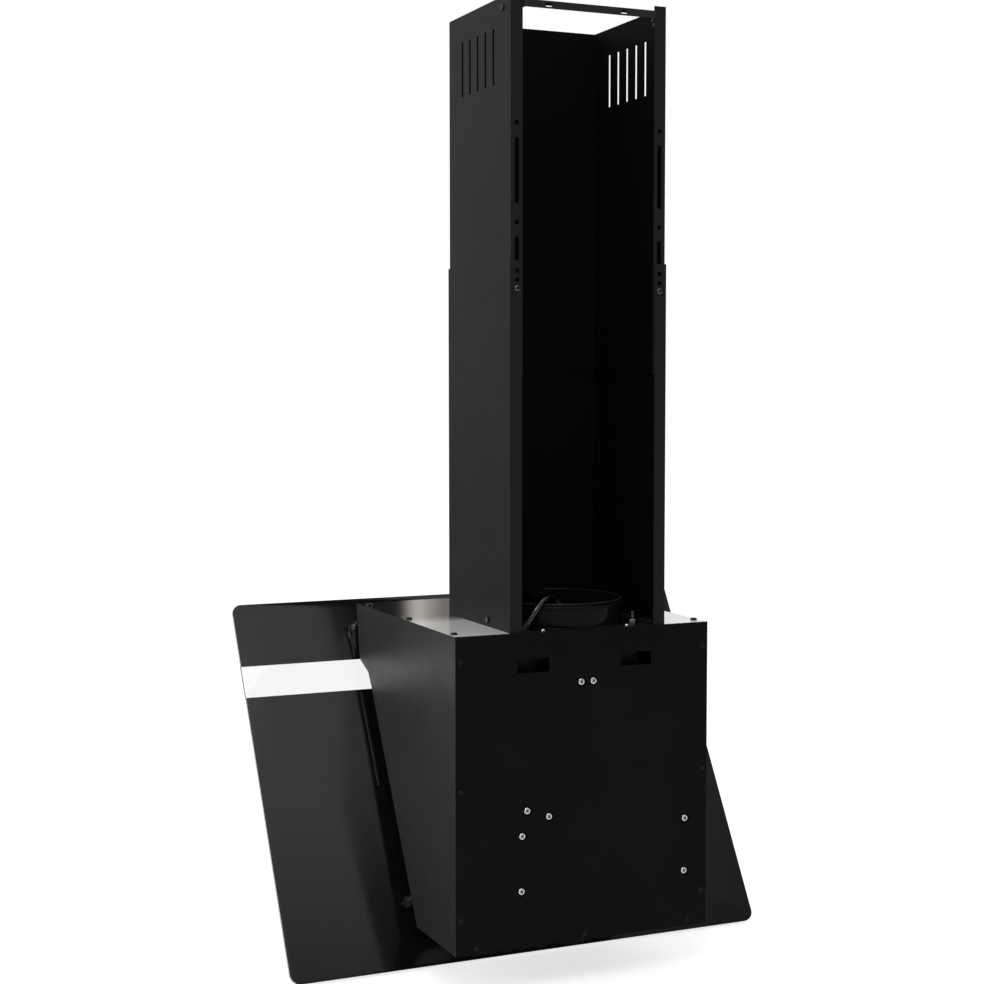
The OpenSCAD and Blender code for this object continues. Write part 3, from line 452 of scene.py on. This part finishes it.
def pick(obj, kind, test):
    # selects faces or edges by a test on their middle and normal or direction
    if obj.mode != "EDIT":
        makeActive(obj)
        bpy.ops.object.mode_set(mode="EDIT")
    bpy.ops.mesh.select_mode(type="FACE" if kind == "face" else "EDGE")
    bpy.ops.mesh.select_all(action="DESELECT")
    shape = bmesh.from_edit_mesh(obj.data)
    for item in shape.faces if kind == "face" else shape.edges:
        if kind == "face":
            chosen = test(item.calc_center_median(), item.normal)
        else:
            a, b = item.verts[0].co, item.verts[1].co
            chosen = test((a + b) / 2, (b - a).normalized())
        if chosen:
            item.select_set(True)
    bmesh.update_edit_mesh(obj.data)


def backToObject():
    bpy.ops.object.mode_set(mode="OBJECT")


def settle(obj):
    makeActive(obj)
    bpy.ops.object.transform_apply(location=True, rotation=True, scale=True)


def smoothed(obj, degrees):
    makeActive(obj)
    bpy.ops.object.shade_smooth_by_angle(angle=math.radians(degrees))


def joined(name, parts):
    deselectAll()
    for part in parts:
        part.select_set(True)
    bpy.context.view_layer.objects.active = parts[0]
    bpy.ops.object.join()
    whole = bpy.context.object
    whole.name = name
    return whole


# tests for pick: edges across the z axis and edges along it
def flat(middle, way):
    return abs(way.z) < slant["flat"]


def upright(middle, way):
    return abs(way.z) > slant["upright"]


def cylinder(radius, depth, middle, sides):
    bpy.ops.mesh.primitive_cylinder_add(vertices=sides, radius=radius, depth=depth,
                                        location=(0, 0, middle))
    shape = bpy.context.object
    settle(shape)
    return shape


def rounded(obj, offset, segments, test, **shape):
    # bevels the edges that the test picks
    pick(obj, "edge", test)
    bpy.ops.mesh.bevel(offset=offset, segments=segments, affect="EDGES", **shape)


def copied(obj, place, turn=(0, 0, 0)):
    twin = obj.copy()
    twin.data = obj.data.copy()
    bpy.context.scene.collection.objects.link(twin)
    twin.location = place
    twin.rotation_euler = turn
    settle(twin)
    return twin


def removed(obj):
    bpy.data.objects.remove(obj, do_unlink=True)


def stands(obj, body, node, material):
    if material:
        dress(obj, finishes[material])
    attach(obj, body)
    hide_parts(node)


# glass pane
paneSettings = {
    "width": 0.598, "height": 0.461, "thickness": 0.004, "clear": (0.0799, 0.1205),
    "corner": 0.012, "cornerSteps": 12, "arris": 0.0005, "arrisSteps": 2, "arrisProfile": 0.6,
    "sideways": 0.5, "smooth": 30,
    "glass": {"tint": (0.83, 0.834, 0.833), "index": 1.45, "smear": (12, 4), "smearWay": (3, 1, 1),
              "gloss": (0, 0.02), "wave": (5, 1), "waveStrength": 0.02, "waveDepth": 0.0002},
    "ground": {"dark": (0.7, 0.72, 0.71), "light": (0.82, 0.84, 0.83), "gloss": (0.2, 0.3), "edge": 0,
               "sparkStrength": 0.03},
}


def clearGlass(name, s):
    # faintly smeared and wavy
    material, tree, shader, place = startMaterial(name)
    smear = noise(tree, stretched(tree, place, s["smearWay"]), *s["smear"])
    tree.links.new(ranged(tree, smear, *s["gloss"]), shader.inputs["Roughness"])
    bumped(tree, shader, noise(tree, place, *s["wave"]), s["waveStrength"], s["waveDepth"])
    shader.inputs["Base Color"].default_value = (*s["tint"], 1)
    shader.inputs["Transmission Weight"].default_value = 1
    shader.inputs["IOR"].default_value = s["index"]
    return material


def makePane(s):
    deselectAll()
    bpy.ops.mesh.primitive_cube_add(size=1)
    pane = bpy.context.object
    pane.scale = (s["width"], s["height"], s["thickness"])
    pane.location = (0, s["height"] / 2, -s["thickness"] / 2)
    settle(pane)
    rounded(pane, s["corner"], s["cornerSteps"], upright)
    rounded(pane, s["arris"], s["arrisSteps"], flat, profile=s["arrisProfile"])
    for line in s["clear"]:
        bpy.ops.mesh.select_all(action="SELECT")
        bpy.ops.mesh.bisect(plane_co=(0, line, 0), plane_no=(0, 1, 0))
    backToObject()
    for material in (finishes["black_glass"], clearGlass("clear_glass", s["glass"]),
                     castFinish("ground_edge", s["ground"])):
        pane.data.materials.append(material)
    # the clear band has material 1, the ground ends have 2
    for face in pane.data.polygons:
        if s["clear"][0] < face.center.y < s["clear"][1]:
            face.material_index = 1
        elif abs(face.normal.z) < s["sideways"] < abs(face.normal.x):
            face.material_index = 2
    pane.rotation_euler = (leanAngle - math.pi / 2, 0, 0)
    pane.location = slopeStart
    settle(pane)
    smoothed(pane, s["smooth"])
    pane.name = "glass_pane"
    stands(pane, "glass_front", "front_glass", None)


makePane(paneSettings)
print("glass pane ready")

# screws
screwSettings = {
    "silver": {
        "node": "back_screws", "finish": "bright_screw", "body": "hood_body",
        "radius": 0.0038, "height": 0.0016, "dome": 0.0009, "shank": (0.00195, 0.0062), "depth": 0.001,
        "arm": 0.4, "recess": 0.62, "recessLow": 0.0001, "recessTop": 0.0003,
        "places": [((x / millimetres, -0.0017, topZ + z / millimetres), "wall") for x, z in (
            (4.3, -57.7), (-10.5, -57.7), (69.7, -195), (43.5, -203.7), (75.7, -222.5), (76.4, -283.4),
            (-126.3, -222.4), (-125.6, -282.5))],
    },
    "edge": {
        "node": "edge_screws", "finish": "black_screw", "body": "hood_body",
        "radius": 0.00295, "height": 0.0009, "dome": 0.0004, "shank": (0.00157, 0.005), "depth": 0.0006,
        "places": [((x / millimetres, -0.001, topZ + z / millimetres), "wall") for x, z in (
            (148, -27), (148, -167), (148, -307), (-148, -27), (-148, -167), (-148, -307), (130, -340),
            (0, -340), (-130, -340))],
    },
    "top": {
        "node": "top_screws", "finish": "black_screw", "body": "hood_body",
        "radius": 0.0038, "height": 0.0022, "dome": 0.0014, "shank": (0.00157, 0.006), "depth": 0.0012,
        "places": [((x / millimetres, y / millimetres, topZ), "up")
                   for x in (147.5, -147.5) for y in (-20, -155, -290)],
    },
    "bracket": {
        "node": "bracket_screws", "finish": "black_screw", "body": "upper_chimney",
        "radius": 0.0034, "height": 0.0018, "dome": 0.001, "shank": (0.00197, 0.006), "depth": 0.001,
        "places": [((0.0879, -0.024, topZ + 0.668), "right"),
                   ((-0.0985, -0.024, topZ + 0.668), "left")],
    },
    "clamp": {
        "node": "clamp_screws", "finish": "black_screw", "body": "hood_body",
        "radius": 0.0036, "height": 0.0019, "dome": 0.0016, "shank": (0.00197, 0.0063), "depth": 0.0006,
        "nut": (0.004, 0.0032, -0.0026),
        "places": [((0.0807, -0.0025, topZ + 0.37), "wall"), ((-0.0913, -0.0025, topZ + 0.37), "wall")],
    },
}
turns = {"up": (0, 0, 0), "wall": (-math.pi / 2, 0, 0), "right": (0, math.pi / 2, 0),
         "left": (0, -math.pi / 2, 0)}
# what all screws have in common; arm, reach and tip are shares of a radius, nearEnd of a height
commonSettings = {"arm": 0.26, "reach": 1.15, "turn": 0.5, "nearEnd": 0.99, "tip": 0.4,
                  "headSides": 32, "domeSteps": 4, "shankSides": 16, "tipSteps": 2,
                  "nutSides": 6, "nutSteps": 2, "nutChamfer": 0.0004, "smooth": 30}


def makeScrew(given):
    # pan head with a cross recess on a plain shank, standing on z = 0
    s = {**commonSettings, **given}
    deselectAll()
    head = cylinder(s["radius"], s["height"], s["height"] / 2, s["headSides"])
    rounded(head, s["dome"], s["domeSteps"], lambda middle, way: middle.z > s["height"] * s["nearEnd"])
    backToObject()
    cutters = []
    for turn in (0, math.pi / 2):
        bpy.ops.mesh.primitive_cube_add(size=1, location=(0, 0, s["height"]))
        cutter = bpy.context.object
        cutter.scale = (s["radius"] * s["reach"], s["radius"] * s["arm"], s["depth"] * 2)
        cutter.rotation_euler = (0, 0, turn + s["turn"])
        settle(cutter)
        cutters.append(cutter)
    for cutter in cutters:
        makeActive(head)
        cut = head.modifiers.new("recess", "BOOLEAN")
        cut.operation = "DIFFERENCE"
        cut.solver = "EXACT"
        cut.object = cutter
        bpy.ops.object.modifier_apply(modifier=cut.name)
        removed(cutter)
    radius, length = s["shank"]
    shank = cylinder(radius, length, -length / 2, s["shankSides"])
    rounded(shank, radius * s["tip"], s["tipSteps"],
            lambda middle, way: middle.z < -length * s["nearEnd"])
    backToObject()
    parts = [head, shank]
    if "nut" in s:
        radius, length, top = s["nut"]
        nut = cylinder(radius, length, top - length / 2, s["nutSides"])
        rounded(nut, s["nutChamfer"], s["nutSteps"], flat)
        backToObject()
        parts.append(nut)
    screw = joined("screw", parts)
    smoothed(screw, s["smooth"])
    return screw


def shadedRecesses(screwSet, s):
    # painted shade darkens the faces of the recesses
    screwSet.data.materials.append(finishes["stud_steel"])
    spots = [Vector(spot) for spot, way in s["places"]]
    for face in screwSet.data.polygons:
        off = face.center - min(spots, key=lambda spot: (spot - face.center).length)
        inside = math.hypot(off.x, off.z) < s["radius"] * s["recess"]
        if inside and s["recessLow"] < off.y < s["height"] - s["recessTop"]:
            face.material_index = 1


for screwName, screwKind in screwSettings.items():
    pattern = makeScrew(screwKind)
    heads = [copied(pattern, place, turns[way]) for place, way in screwKind["places"]]
    removed(pattern)
    screwSet = joined(screwName + "_screw_set", heads)
    stands(screwSet, screwKind["body"], screwKind["node"], screwKind["finish"])
    if screwName == "clamp":
        dress(screwSet, finishes["clamp_black"])
    if screwName == "silver":
        # the recesses of the silver screws get painted shade
        shadedRecesses(screwSet, screwKind)
print("screws set")

# outlet collar
collarSettings = {
    "outer": 0.075, "wall": 0.0025, "height": 0.028,
    "flange": 0.081, "flangeHeight": 0.002, "overlap": 0.0004,
    "centre": (0, -0.077), "bead": (0.0215, 0.0245, 0.0009), "steps": 128, "wallCut": -0.001,
    "highlightBand": 0.0008, "upward": 0.5, "smooth": 40,
}
ringSettings = {"near": 1e-5, "corner": 0.0007, "cornerShare": 0.25, "cornerSteps": 3, "merge": 0.00002}


def spunRing(s, inner, outer, low, high, steps, bead=None):
    # turns a small rectangle with rounded corners, and a bead on its outer side, round the z axis
    deselectAll()
    bpy.ops.mesh.primitive_plane_add(size=1, rotation=(math.pi / 2, 0, 0),
                                     location=((inner + outer) / 2, 0, (low + high) / 2))
    ring = bpy.context.object
    ring.scale = (outer - inner, high - low, 1)
    settle(ring)
    if bead:
        makeActive(ring)
        bpy.ops.object.mode_set(mode="EDIT")
        for line in bead[:2]:
            bpy.ops.mesh.select_all(action="SELECT")
            bpy.ops.mesh.bisect(plane_co=(0, 0, line), plane_no=(0, 0, 1))
        pick(ring, "edge", lambda middle, way:
             middle.x > outer - s["near"] and bead[0] < middle.z < bead[1])
        bpy.ops.mesh.extrude_region_move(TRANSFORM_OT_translate={"value": (bead[2], 0, 0)})
        backToObject()
    makeActive(ring)
    bpy.ops.object.mode_set(mode="EDIT")
    bpy.ops.mesh.select_mode(type="VERT")
    bpy.ops.mesh.select_all(action="SELECT")
    corner = min(s["corner"], (outer - inner) * s["cornerShare"])
    bpy.ops.mesh.bevel(offset=corner, segments=s["cornerSteps"], affect="VERTICES")
    bpy.ops.mesh.select_all(action="SELECT")
    bpy.ops.mesh.dissolve_faces()
    bpy.ops.mesh.select_all(action="SELECT")
    bpy.ops.mesh.delete(type="ONLY_FACE")
    bpy.ops.mesh.select_all(action="SELECT")
    bpy.ops.mesh.spin(steps=steps, angle=2 * math.pi, center=(0, 0, 0), axis=(0, 0, 1),
                      use_auto_merge=True)
    bpy.ops.mesh.select_all(action="SELECT")
    bpy.ops.mesh.remove_doubles(threshold=s["merge"])
    bpy.ops.mesh.normals_make_consistent(inside=False)
    backToObject()
    return ring


def makeCollar(s):
    tube = spunRing(ringSettings, s["outer"] - s["wall"], s["outer"], 0, s["height"],
                    s["steps"], s["bead"])
    flange = spunRing(ringSettings, s["outer"] - s["overlap"], s["flange"], 0, s["flangeHeight"],
                      s["steps"])
    makeActive(flange)
    bpy.ops.object.mode_set(mode="EDIT")
    bpy.ops.mesh.select_all(action="SELECT")
    bpy.ops.mesh.bisect(plane_co=(0, s["wallCut"] - s["centre"][1], 0), plane_no=(0, 1, 0),
                        clear_outer=True, use_fill=True)
    backToObject()
    collar = joined("outlet_ring", [tube, flange])
    collar.location = (s["centre"][0], s["centre"][1], topZ)
    settle(collar)
    smoothed(collar, s["smooth"])
    return collar


collar = makeCollar(collarSettings)
stands(collar, "hood_body", "duct_collar", "gloss_black")
# the collar's upper rim is lighter: a painted highlight
rimLow = topZ + collarSettings["height"] - collarSettings["highlightBand"]
collar.data.materials.append(finishes["rim_highlight"])
for face in collar.data.polygons:
    if face.normal.z > collarSettings["upward"] and face.center.z > rimLow:
        face.material_index = 1
print("outlet collar ready")

# filter mesh
meshSettings = {"halfWidth": 0.119, "top": 0.190, "bottom": 0.384, "layers": (0.0394, 0.0411, 0.0428),
                "across": 28, "down": 23, "wire": 0.0011, "narrower": 0.01, "near": 1e-4}


def expandedSheet(s, layer):
    # a grid turned into diamonds and then into wires, a little narrower in each layer
    deselectAll()
    bpy.ops.mesh.primitive_grid_add(x_subdivisions=s["across"], y_subdivisions=s["down"], size=1)
    sheet = bpy.context.object
    sheet.scale = (2 * s["halfWidth"], s["bottom"] - s["top"], 1)
    settle(sheet)
    pick(sheet, "face", lambda middle, normal: True)
    bpy.ops.mesh.poke()
    sideLimit, endLimit = s["halfWidth"] - s["near"], (s["bottom"] - s["top"]) / 2 - s["near"]
    pick(sheet, "edge", lambda middle, way: max(abs(way.x), abs(way.y)) > slant["straight"]
         and abs(middle.x) < sideLimit and abs(middle.y) < endLimit)
    bpy.ops.mesh.dissolve_edges(use_verts=False)
    backToObject()
    wires = sheet.modifiers.new("wires", "WIREFRAME")
    wires.thickness = s["wire"]
    wires.use_boundary = True
    wires.use_even_offset = False
    makeActive(sheet)
    bpy.ops.object.modifier_apply(modifier=wires.name)
    sheet.scale = (1 - layer * s["narrower"], 1, 1)
    settle(sheet)
    return sheet


def makeFilterMesh(s):
    sheets = []
    for i, depth in enumerate(s["layers"]):
        sheet = expandedSheet(s, i)
        sheet.location = (0, (s["top"] + s["bottom"]) / 2, depth)
        sheet.rotation_euler = (0, 0, 0 if i % 2 == 0 else math.pi)
        settle(sheet)
        sheets.append(sheet)
    whole = joined("filter_strands", sheets)
    whole.rotation_euler = (leanAngle - math.pi / 2, 0, 0)
    whole.location = slopeStart
    settle(whole)
    return whole


stands(makeFilterMesh(meshSettings), nodeBody["filter_mesh"], "filter_mesh", slotOf["filter_mesh"])
print("filter mesh ready")

# lamp lenses
lensSettings = {
    "radius": 0.0239, "thickness": 0.0025, "sides": 96, "round": 0.0006, "roundSteps": 3,
    "near": 1e-5, "middle": 1e-6,
    "places": ((0.1, -0.058), (-0.1, -0.058)), "low": topZ - 0.347, "smooth": 30,
    "rings": ((0.004, 0), (0.0006, -0.0004), (0.006, 0), (0.0008, -0.0003)),
}


def makeLens(s):
    deselectAll()
    lens = cylinder(s["radius"], s["thickness"], s["thickness"] / 2, s["sides"])
    rounded(lens, s["round"], s["roundSteps"], lambda middle, way: middle.z < s["near"])
    # each ring is an inset of the middle face, some with a step
    for width, depth in s["rings"]:
        pick(lens, "face", lambda middle, normal:
             normal.z < -slant["facing"] and middle.x ** 2 + middle.y ** 2 < s["middle"])
        bpy.ops.mesh.inset(thickness=width, depth=depth)
    backToObject()
    smoothed(lens, s["smooth"])
    return lens


pattern = makeLens(lensSettings)
lenses = [copied(pattern, (*spot, lensSettings["low"])) for spot in lensSettings["places"]]
removed(pattern)
stands(joined("lamp_covers", lenses), nodeBody["lamp_lenses"], "lamp_lenses", slotOf["lamp_lenses"])
print("lamp lenses ready")

# earth stud
# the washer's and the nut's radius, thickness, sides and chamfer
studSettings = {
    "place": (-0.066, -0.015), "radius": 0.003, "low": -0.006, "high": 0.015,
    "pitch": 0.001, "crest": 0.42, "sides": 24, "chamferSteps": 2,
    "washer": (0.007, 0.001, 40, 0.0002), "nut": (0.006, 0.005, 6, 0.0006),
    "small": ((0.048, -0.0075), (-0.055, -0.008)), "reach": 0.0075, "smooth": 25,
    "smallScrew": {"radius": 0.003, "height": 0.002, "dome": 0.0011, "shank": (0.00147, 0.004),
                   "depth": 0.001},
}


def makeStud(s):
    # threaded stud, washer and nut, with the two small screws beside them
    deselectAll()
    ridge = cylinder(s["radius"], s["pitch"], s["pitch"] / 2, s["sides"])
    rounded(ridge, s["pitch"] * s["crest"], 1, flat)
    backToObject()
    count = round((s["high"] - s["low"]) / s["pitch"])
    parts = [copied(ridge, (0, 0, s["low"] + i * s["pitch"])) for i in range(count)]
    removed(ridge)
    low = 0
    for radius, thickness, sides, chamfer in (s["washer"], s["nut"]):
        part = cylinder(radius, thickness, low + thickness / 2, sides)
        rounded(part, chamfer, s["chamferSteps"], flat)
        backToObject()
        parts.append(part)
        low += thickness
    stud = joined("stud", parts)
    stud.location = (*s["place"], topZ)
    settle(stud)
    smoothed(stud, s["smooth"])
    small = makeScrew(s["smallScrew"])
    screws = [copied(small, (*spot, topZ)) for spot in s["small"]]
    removed(small)
    return joined("earth_terminal", [stud] + screws)


stud = makeStud(studSettings)
stands(stud, "hood_body", "earth_stud", slotOf["earth_stud"])
dress(stud, finishes["stud_steel"])
# the small screws beside it are bright
stud.data.materials.append(finishes["bright_screw"])
for face in stud.data.polygons:
    if abs(face.center.x - studSettings["place"][0]) > studSettings["reach"]:
        face.material_index = 1
print("earth stud ready")

# studio
studioSettings = {
    "floorDrop": 0.003, "floorSize": 40, "floorColor": (0.82, 0.82, 0.82), "ambient": 0.5, "glow": 0.66,
    "paleWay": (0, -0.8, 1.2), "paleFrom": (-0.4, 0.2), "dimRoom": 0.08,
    "sideWay": (1, -0.3, 0), "sideFrom": (-1.0, -0.49),
    "card": {
        "low": (-1.35, -3.0, -0.1), "high": (0.45, -3.0, 1.3), "warm": (1.0, 0.95, 0.88),
        "tones": ((-1.35, 1.0), (-1.16, 0.5), (-1.05, 0.2), (-1.01, 0.36), (-0.965, 0.62),
                  (-0.905, 0.012), (-0.6, 0.006)),
    },
    "lamps": {
        "over": {"place": (1.15, 1.9, 2.2), "aim": (0, -0.1, 0.0), "size": (1.3, 1.1), "power": 20},
        "side": {"place": (2.7, -0.6, 1.0), "aim": (0, -0.1, 0.0), "size": (1.4, 1.8), "power": 18},
        "fill": {"place": (-2.4, 1.2, 1.6), "aim": (0, -0.1, 0.1), "size": (1.6, 1.6), "power": 10,
                 "mirrored": False},
    },
}


def seenStraight(tree):
    # 1 on rays from the camera, also through glass; the light path is given back too
    path = tree.nodes.new("ShaderNodeLightPath")
    return path, calculated(tree, "MAXIMUM", path.outputs["Is Camera Ray"],
                            path.outputs["Is Transmission Ray"])


def makeFloor(s):
    # a glow keeps the floor white for the camera, its matt part takes the shadow
    deselectAll()
    bpy.ops.mesh.primitive_plane_add(size=s["floorSize"], location=(0, 0, 0))
    floor = bpy.context.object
    floor.name = "floor"
    bpy.ops.object.mode_set(mode="EDIT")
    bpy.ops.transform.translate(value=(0, 0, cadLow.z - s["floorDrop"]))
    backToObject()
    material = bpy.data.materials.new("floor")
    material.use_nodes = True
    tree = material.node_tree
    tree.nodes.remove(tree.nodes["Principled BSDF"])
    matt = tree.nodes.new("ShaderNodeBsdfDiffuse")
    feed(tree, s["floorColor"], matt.inputs["Color"])
    glow = tree.nodes.new("ShaderNodeEmission")
    path, straight = seenStraight(tree)
    feed(tree, calculated(tree, "MULTIPLY", straight, s["glow"]), glow.inputs["Strength"])
    both = tree.nodes.new("ShaderNodeAddShader")
    feed(tree, matt.outputs[0], both.inputs[0])
    feed(tree, glow.outputs[0], both.inputs[1])
    feed(tree, both.outputs[0], tree.nodes["Material Output"].inputs["Surface"])
    dress(floor, material)


def along(tree, vector, way):
    node = tree.nodes.new("ShaderNodeVectorMath")
    node.operation = "DOT_PRODUCT"
    node.inputs[1].default_value = way
    tree.links.new(vector, node.inputs[0])
    return node.outputs["Value"]


def glossyLevel(tree, path, s):
    # the backdrop and the ceiling are pale in reflections, the room behind the camera is dim
    way = tree.nodes.new("ShaderNodeTexCoord").outputs["Generated"]
    pale = ranged(tree, along(tree, way, s["paleWay"]), s["dimRoom"], 1, *s["paleFrom"])
    aside = ranged(tree, along(tree, way, s["sideWay"]), 0, 1, *s["sideFrom"])
    return calculated(tree, "MULTIPLY", calculated(tree, "MULTIPLY", aside, pale),
                      path.outputs["Is Glossy Ray"])


def makeSky(s):
    # white for the camera, a level of its own for diffuse and for glossy rays
    world = bpy.data.worlds.new("studio")
    bpy.context.scene.world = world
    world.use_nodes = True
    tree = world.node_tree
    backdrop = tree.nodes["Background"]
    path, straight = seenStraight(tree)
    seen = calculated(tree, "MAXIMUM", straight, glossyLevel(tree, path, s))
    level = calculated(tree, "MULTIPLY_ADD", path.outputs["Is Diffuse Ray"], s["ambient"], seen)
    feed(tree, (1, 1, 1), backdrop.inputs["Color"])
    feed(tree, level, backdrop.inputs["Strength"])


def makeLamp(name, s):
    data = bpy.data.lights.new(name, "AREA")
    data.shape = "RECTANGLE"
    data.size, data.size_y = s["size"]
    data.energy = s["power"]
    lamp = bpy.data.objects.new(name, data)
    lamp.location = s["place"]
    aim = Vector(s["aim"]) - Vector(s["place"])
    lamp.rotation_euler = aim.to_track_quat("-Z", "Y").to_euler()
    lamp.visible_glossy = s.get("mirrored", True)
    bpy.context.scene.collection.objects.link(lamp)


def makeCard(s):
    # a toned card beyond the hood that only reflections see
    low, high = Vector(s["low"]), Vector(s["high"])
    deselectAll()
    bpy.ops.mesh.primitive_plane_add(size=1)
    card = bpy.context.object
    card.name = "dark_card"
    card.rotation_euler = (math.pi / 2, 0, 0)
    card.scale = (high.x - low.x, high.z - low.z, 1)
    card.location = (low + high) / 2
    settle(card)
    material, tree, shader, place = startMaterial("dark_card")
    parts = tree.nodes.new("ShaderNodeSeparateXYZ")
    tree.links.new(place, parts.inputs[0])
    tones = tree.nodes.new("ShaderNodeValToRGB")
    tones.color_ramp.interpolation = "EASE"
    while len(tones.color_ramp.elements) < len(s["tones"]):
        tones.color_ramp.elements.new(0.5)
    for stop, (x, level) in zip(tones.color_ramp.elements, s["tones"]):
        stop.position = (x - low.x) / (high.x - low.x)
        stop.color = (*(level * part for part in s["warm"]), 1)
    tree.links.new(ranged(tree, parts.outputs["X"], 0, 1, low.x, high.x), tones.inputs["Fac"])
    glow = tree.nodes.new("ShaderNodeEmission")
    tree.links.new(tones.outputs["Color"], glow.inputs["Color"])
    tree.links.new(glow.outputs[0], tree.nodes["Material Output"].inputs["Surface"])
    dress(card, material)
    card.visible_camera = False
    card.visible_diffuse = False
    card.visible_transmission = False
    card.visible_shadow = False


makeFloor(studioSettings)
makeCard(studioSettings["card"])
makeSky(studioSettings)
for lampName, lampSettings in studioSettings["lamps"].items():
    makeLamp(lampName, lampSettings)
bpy.context.scene.view_settings.view_transform = "Standard"
print("studio lit")
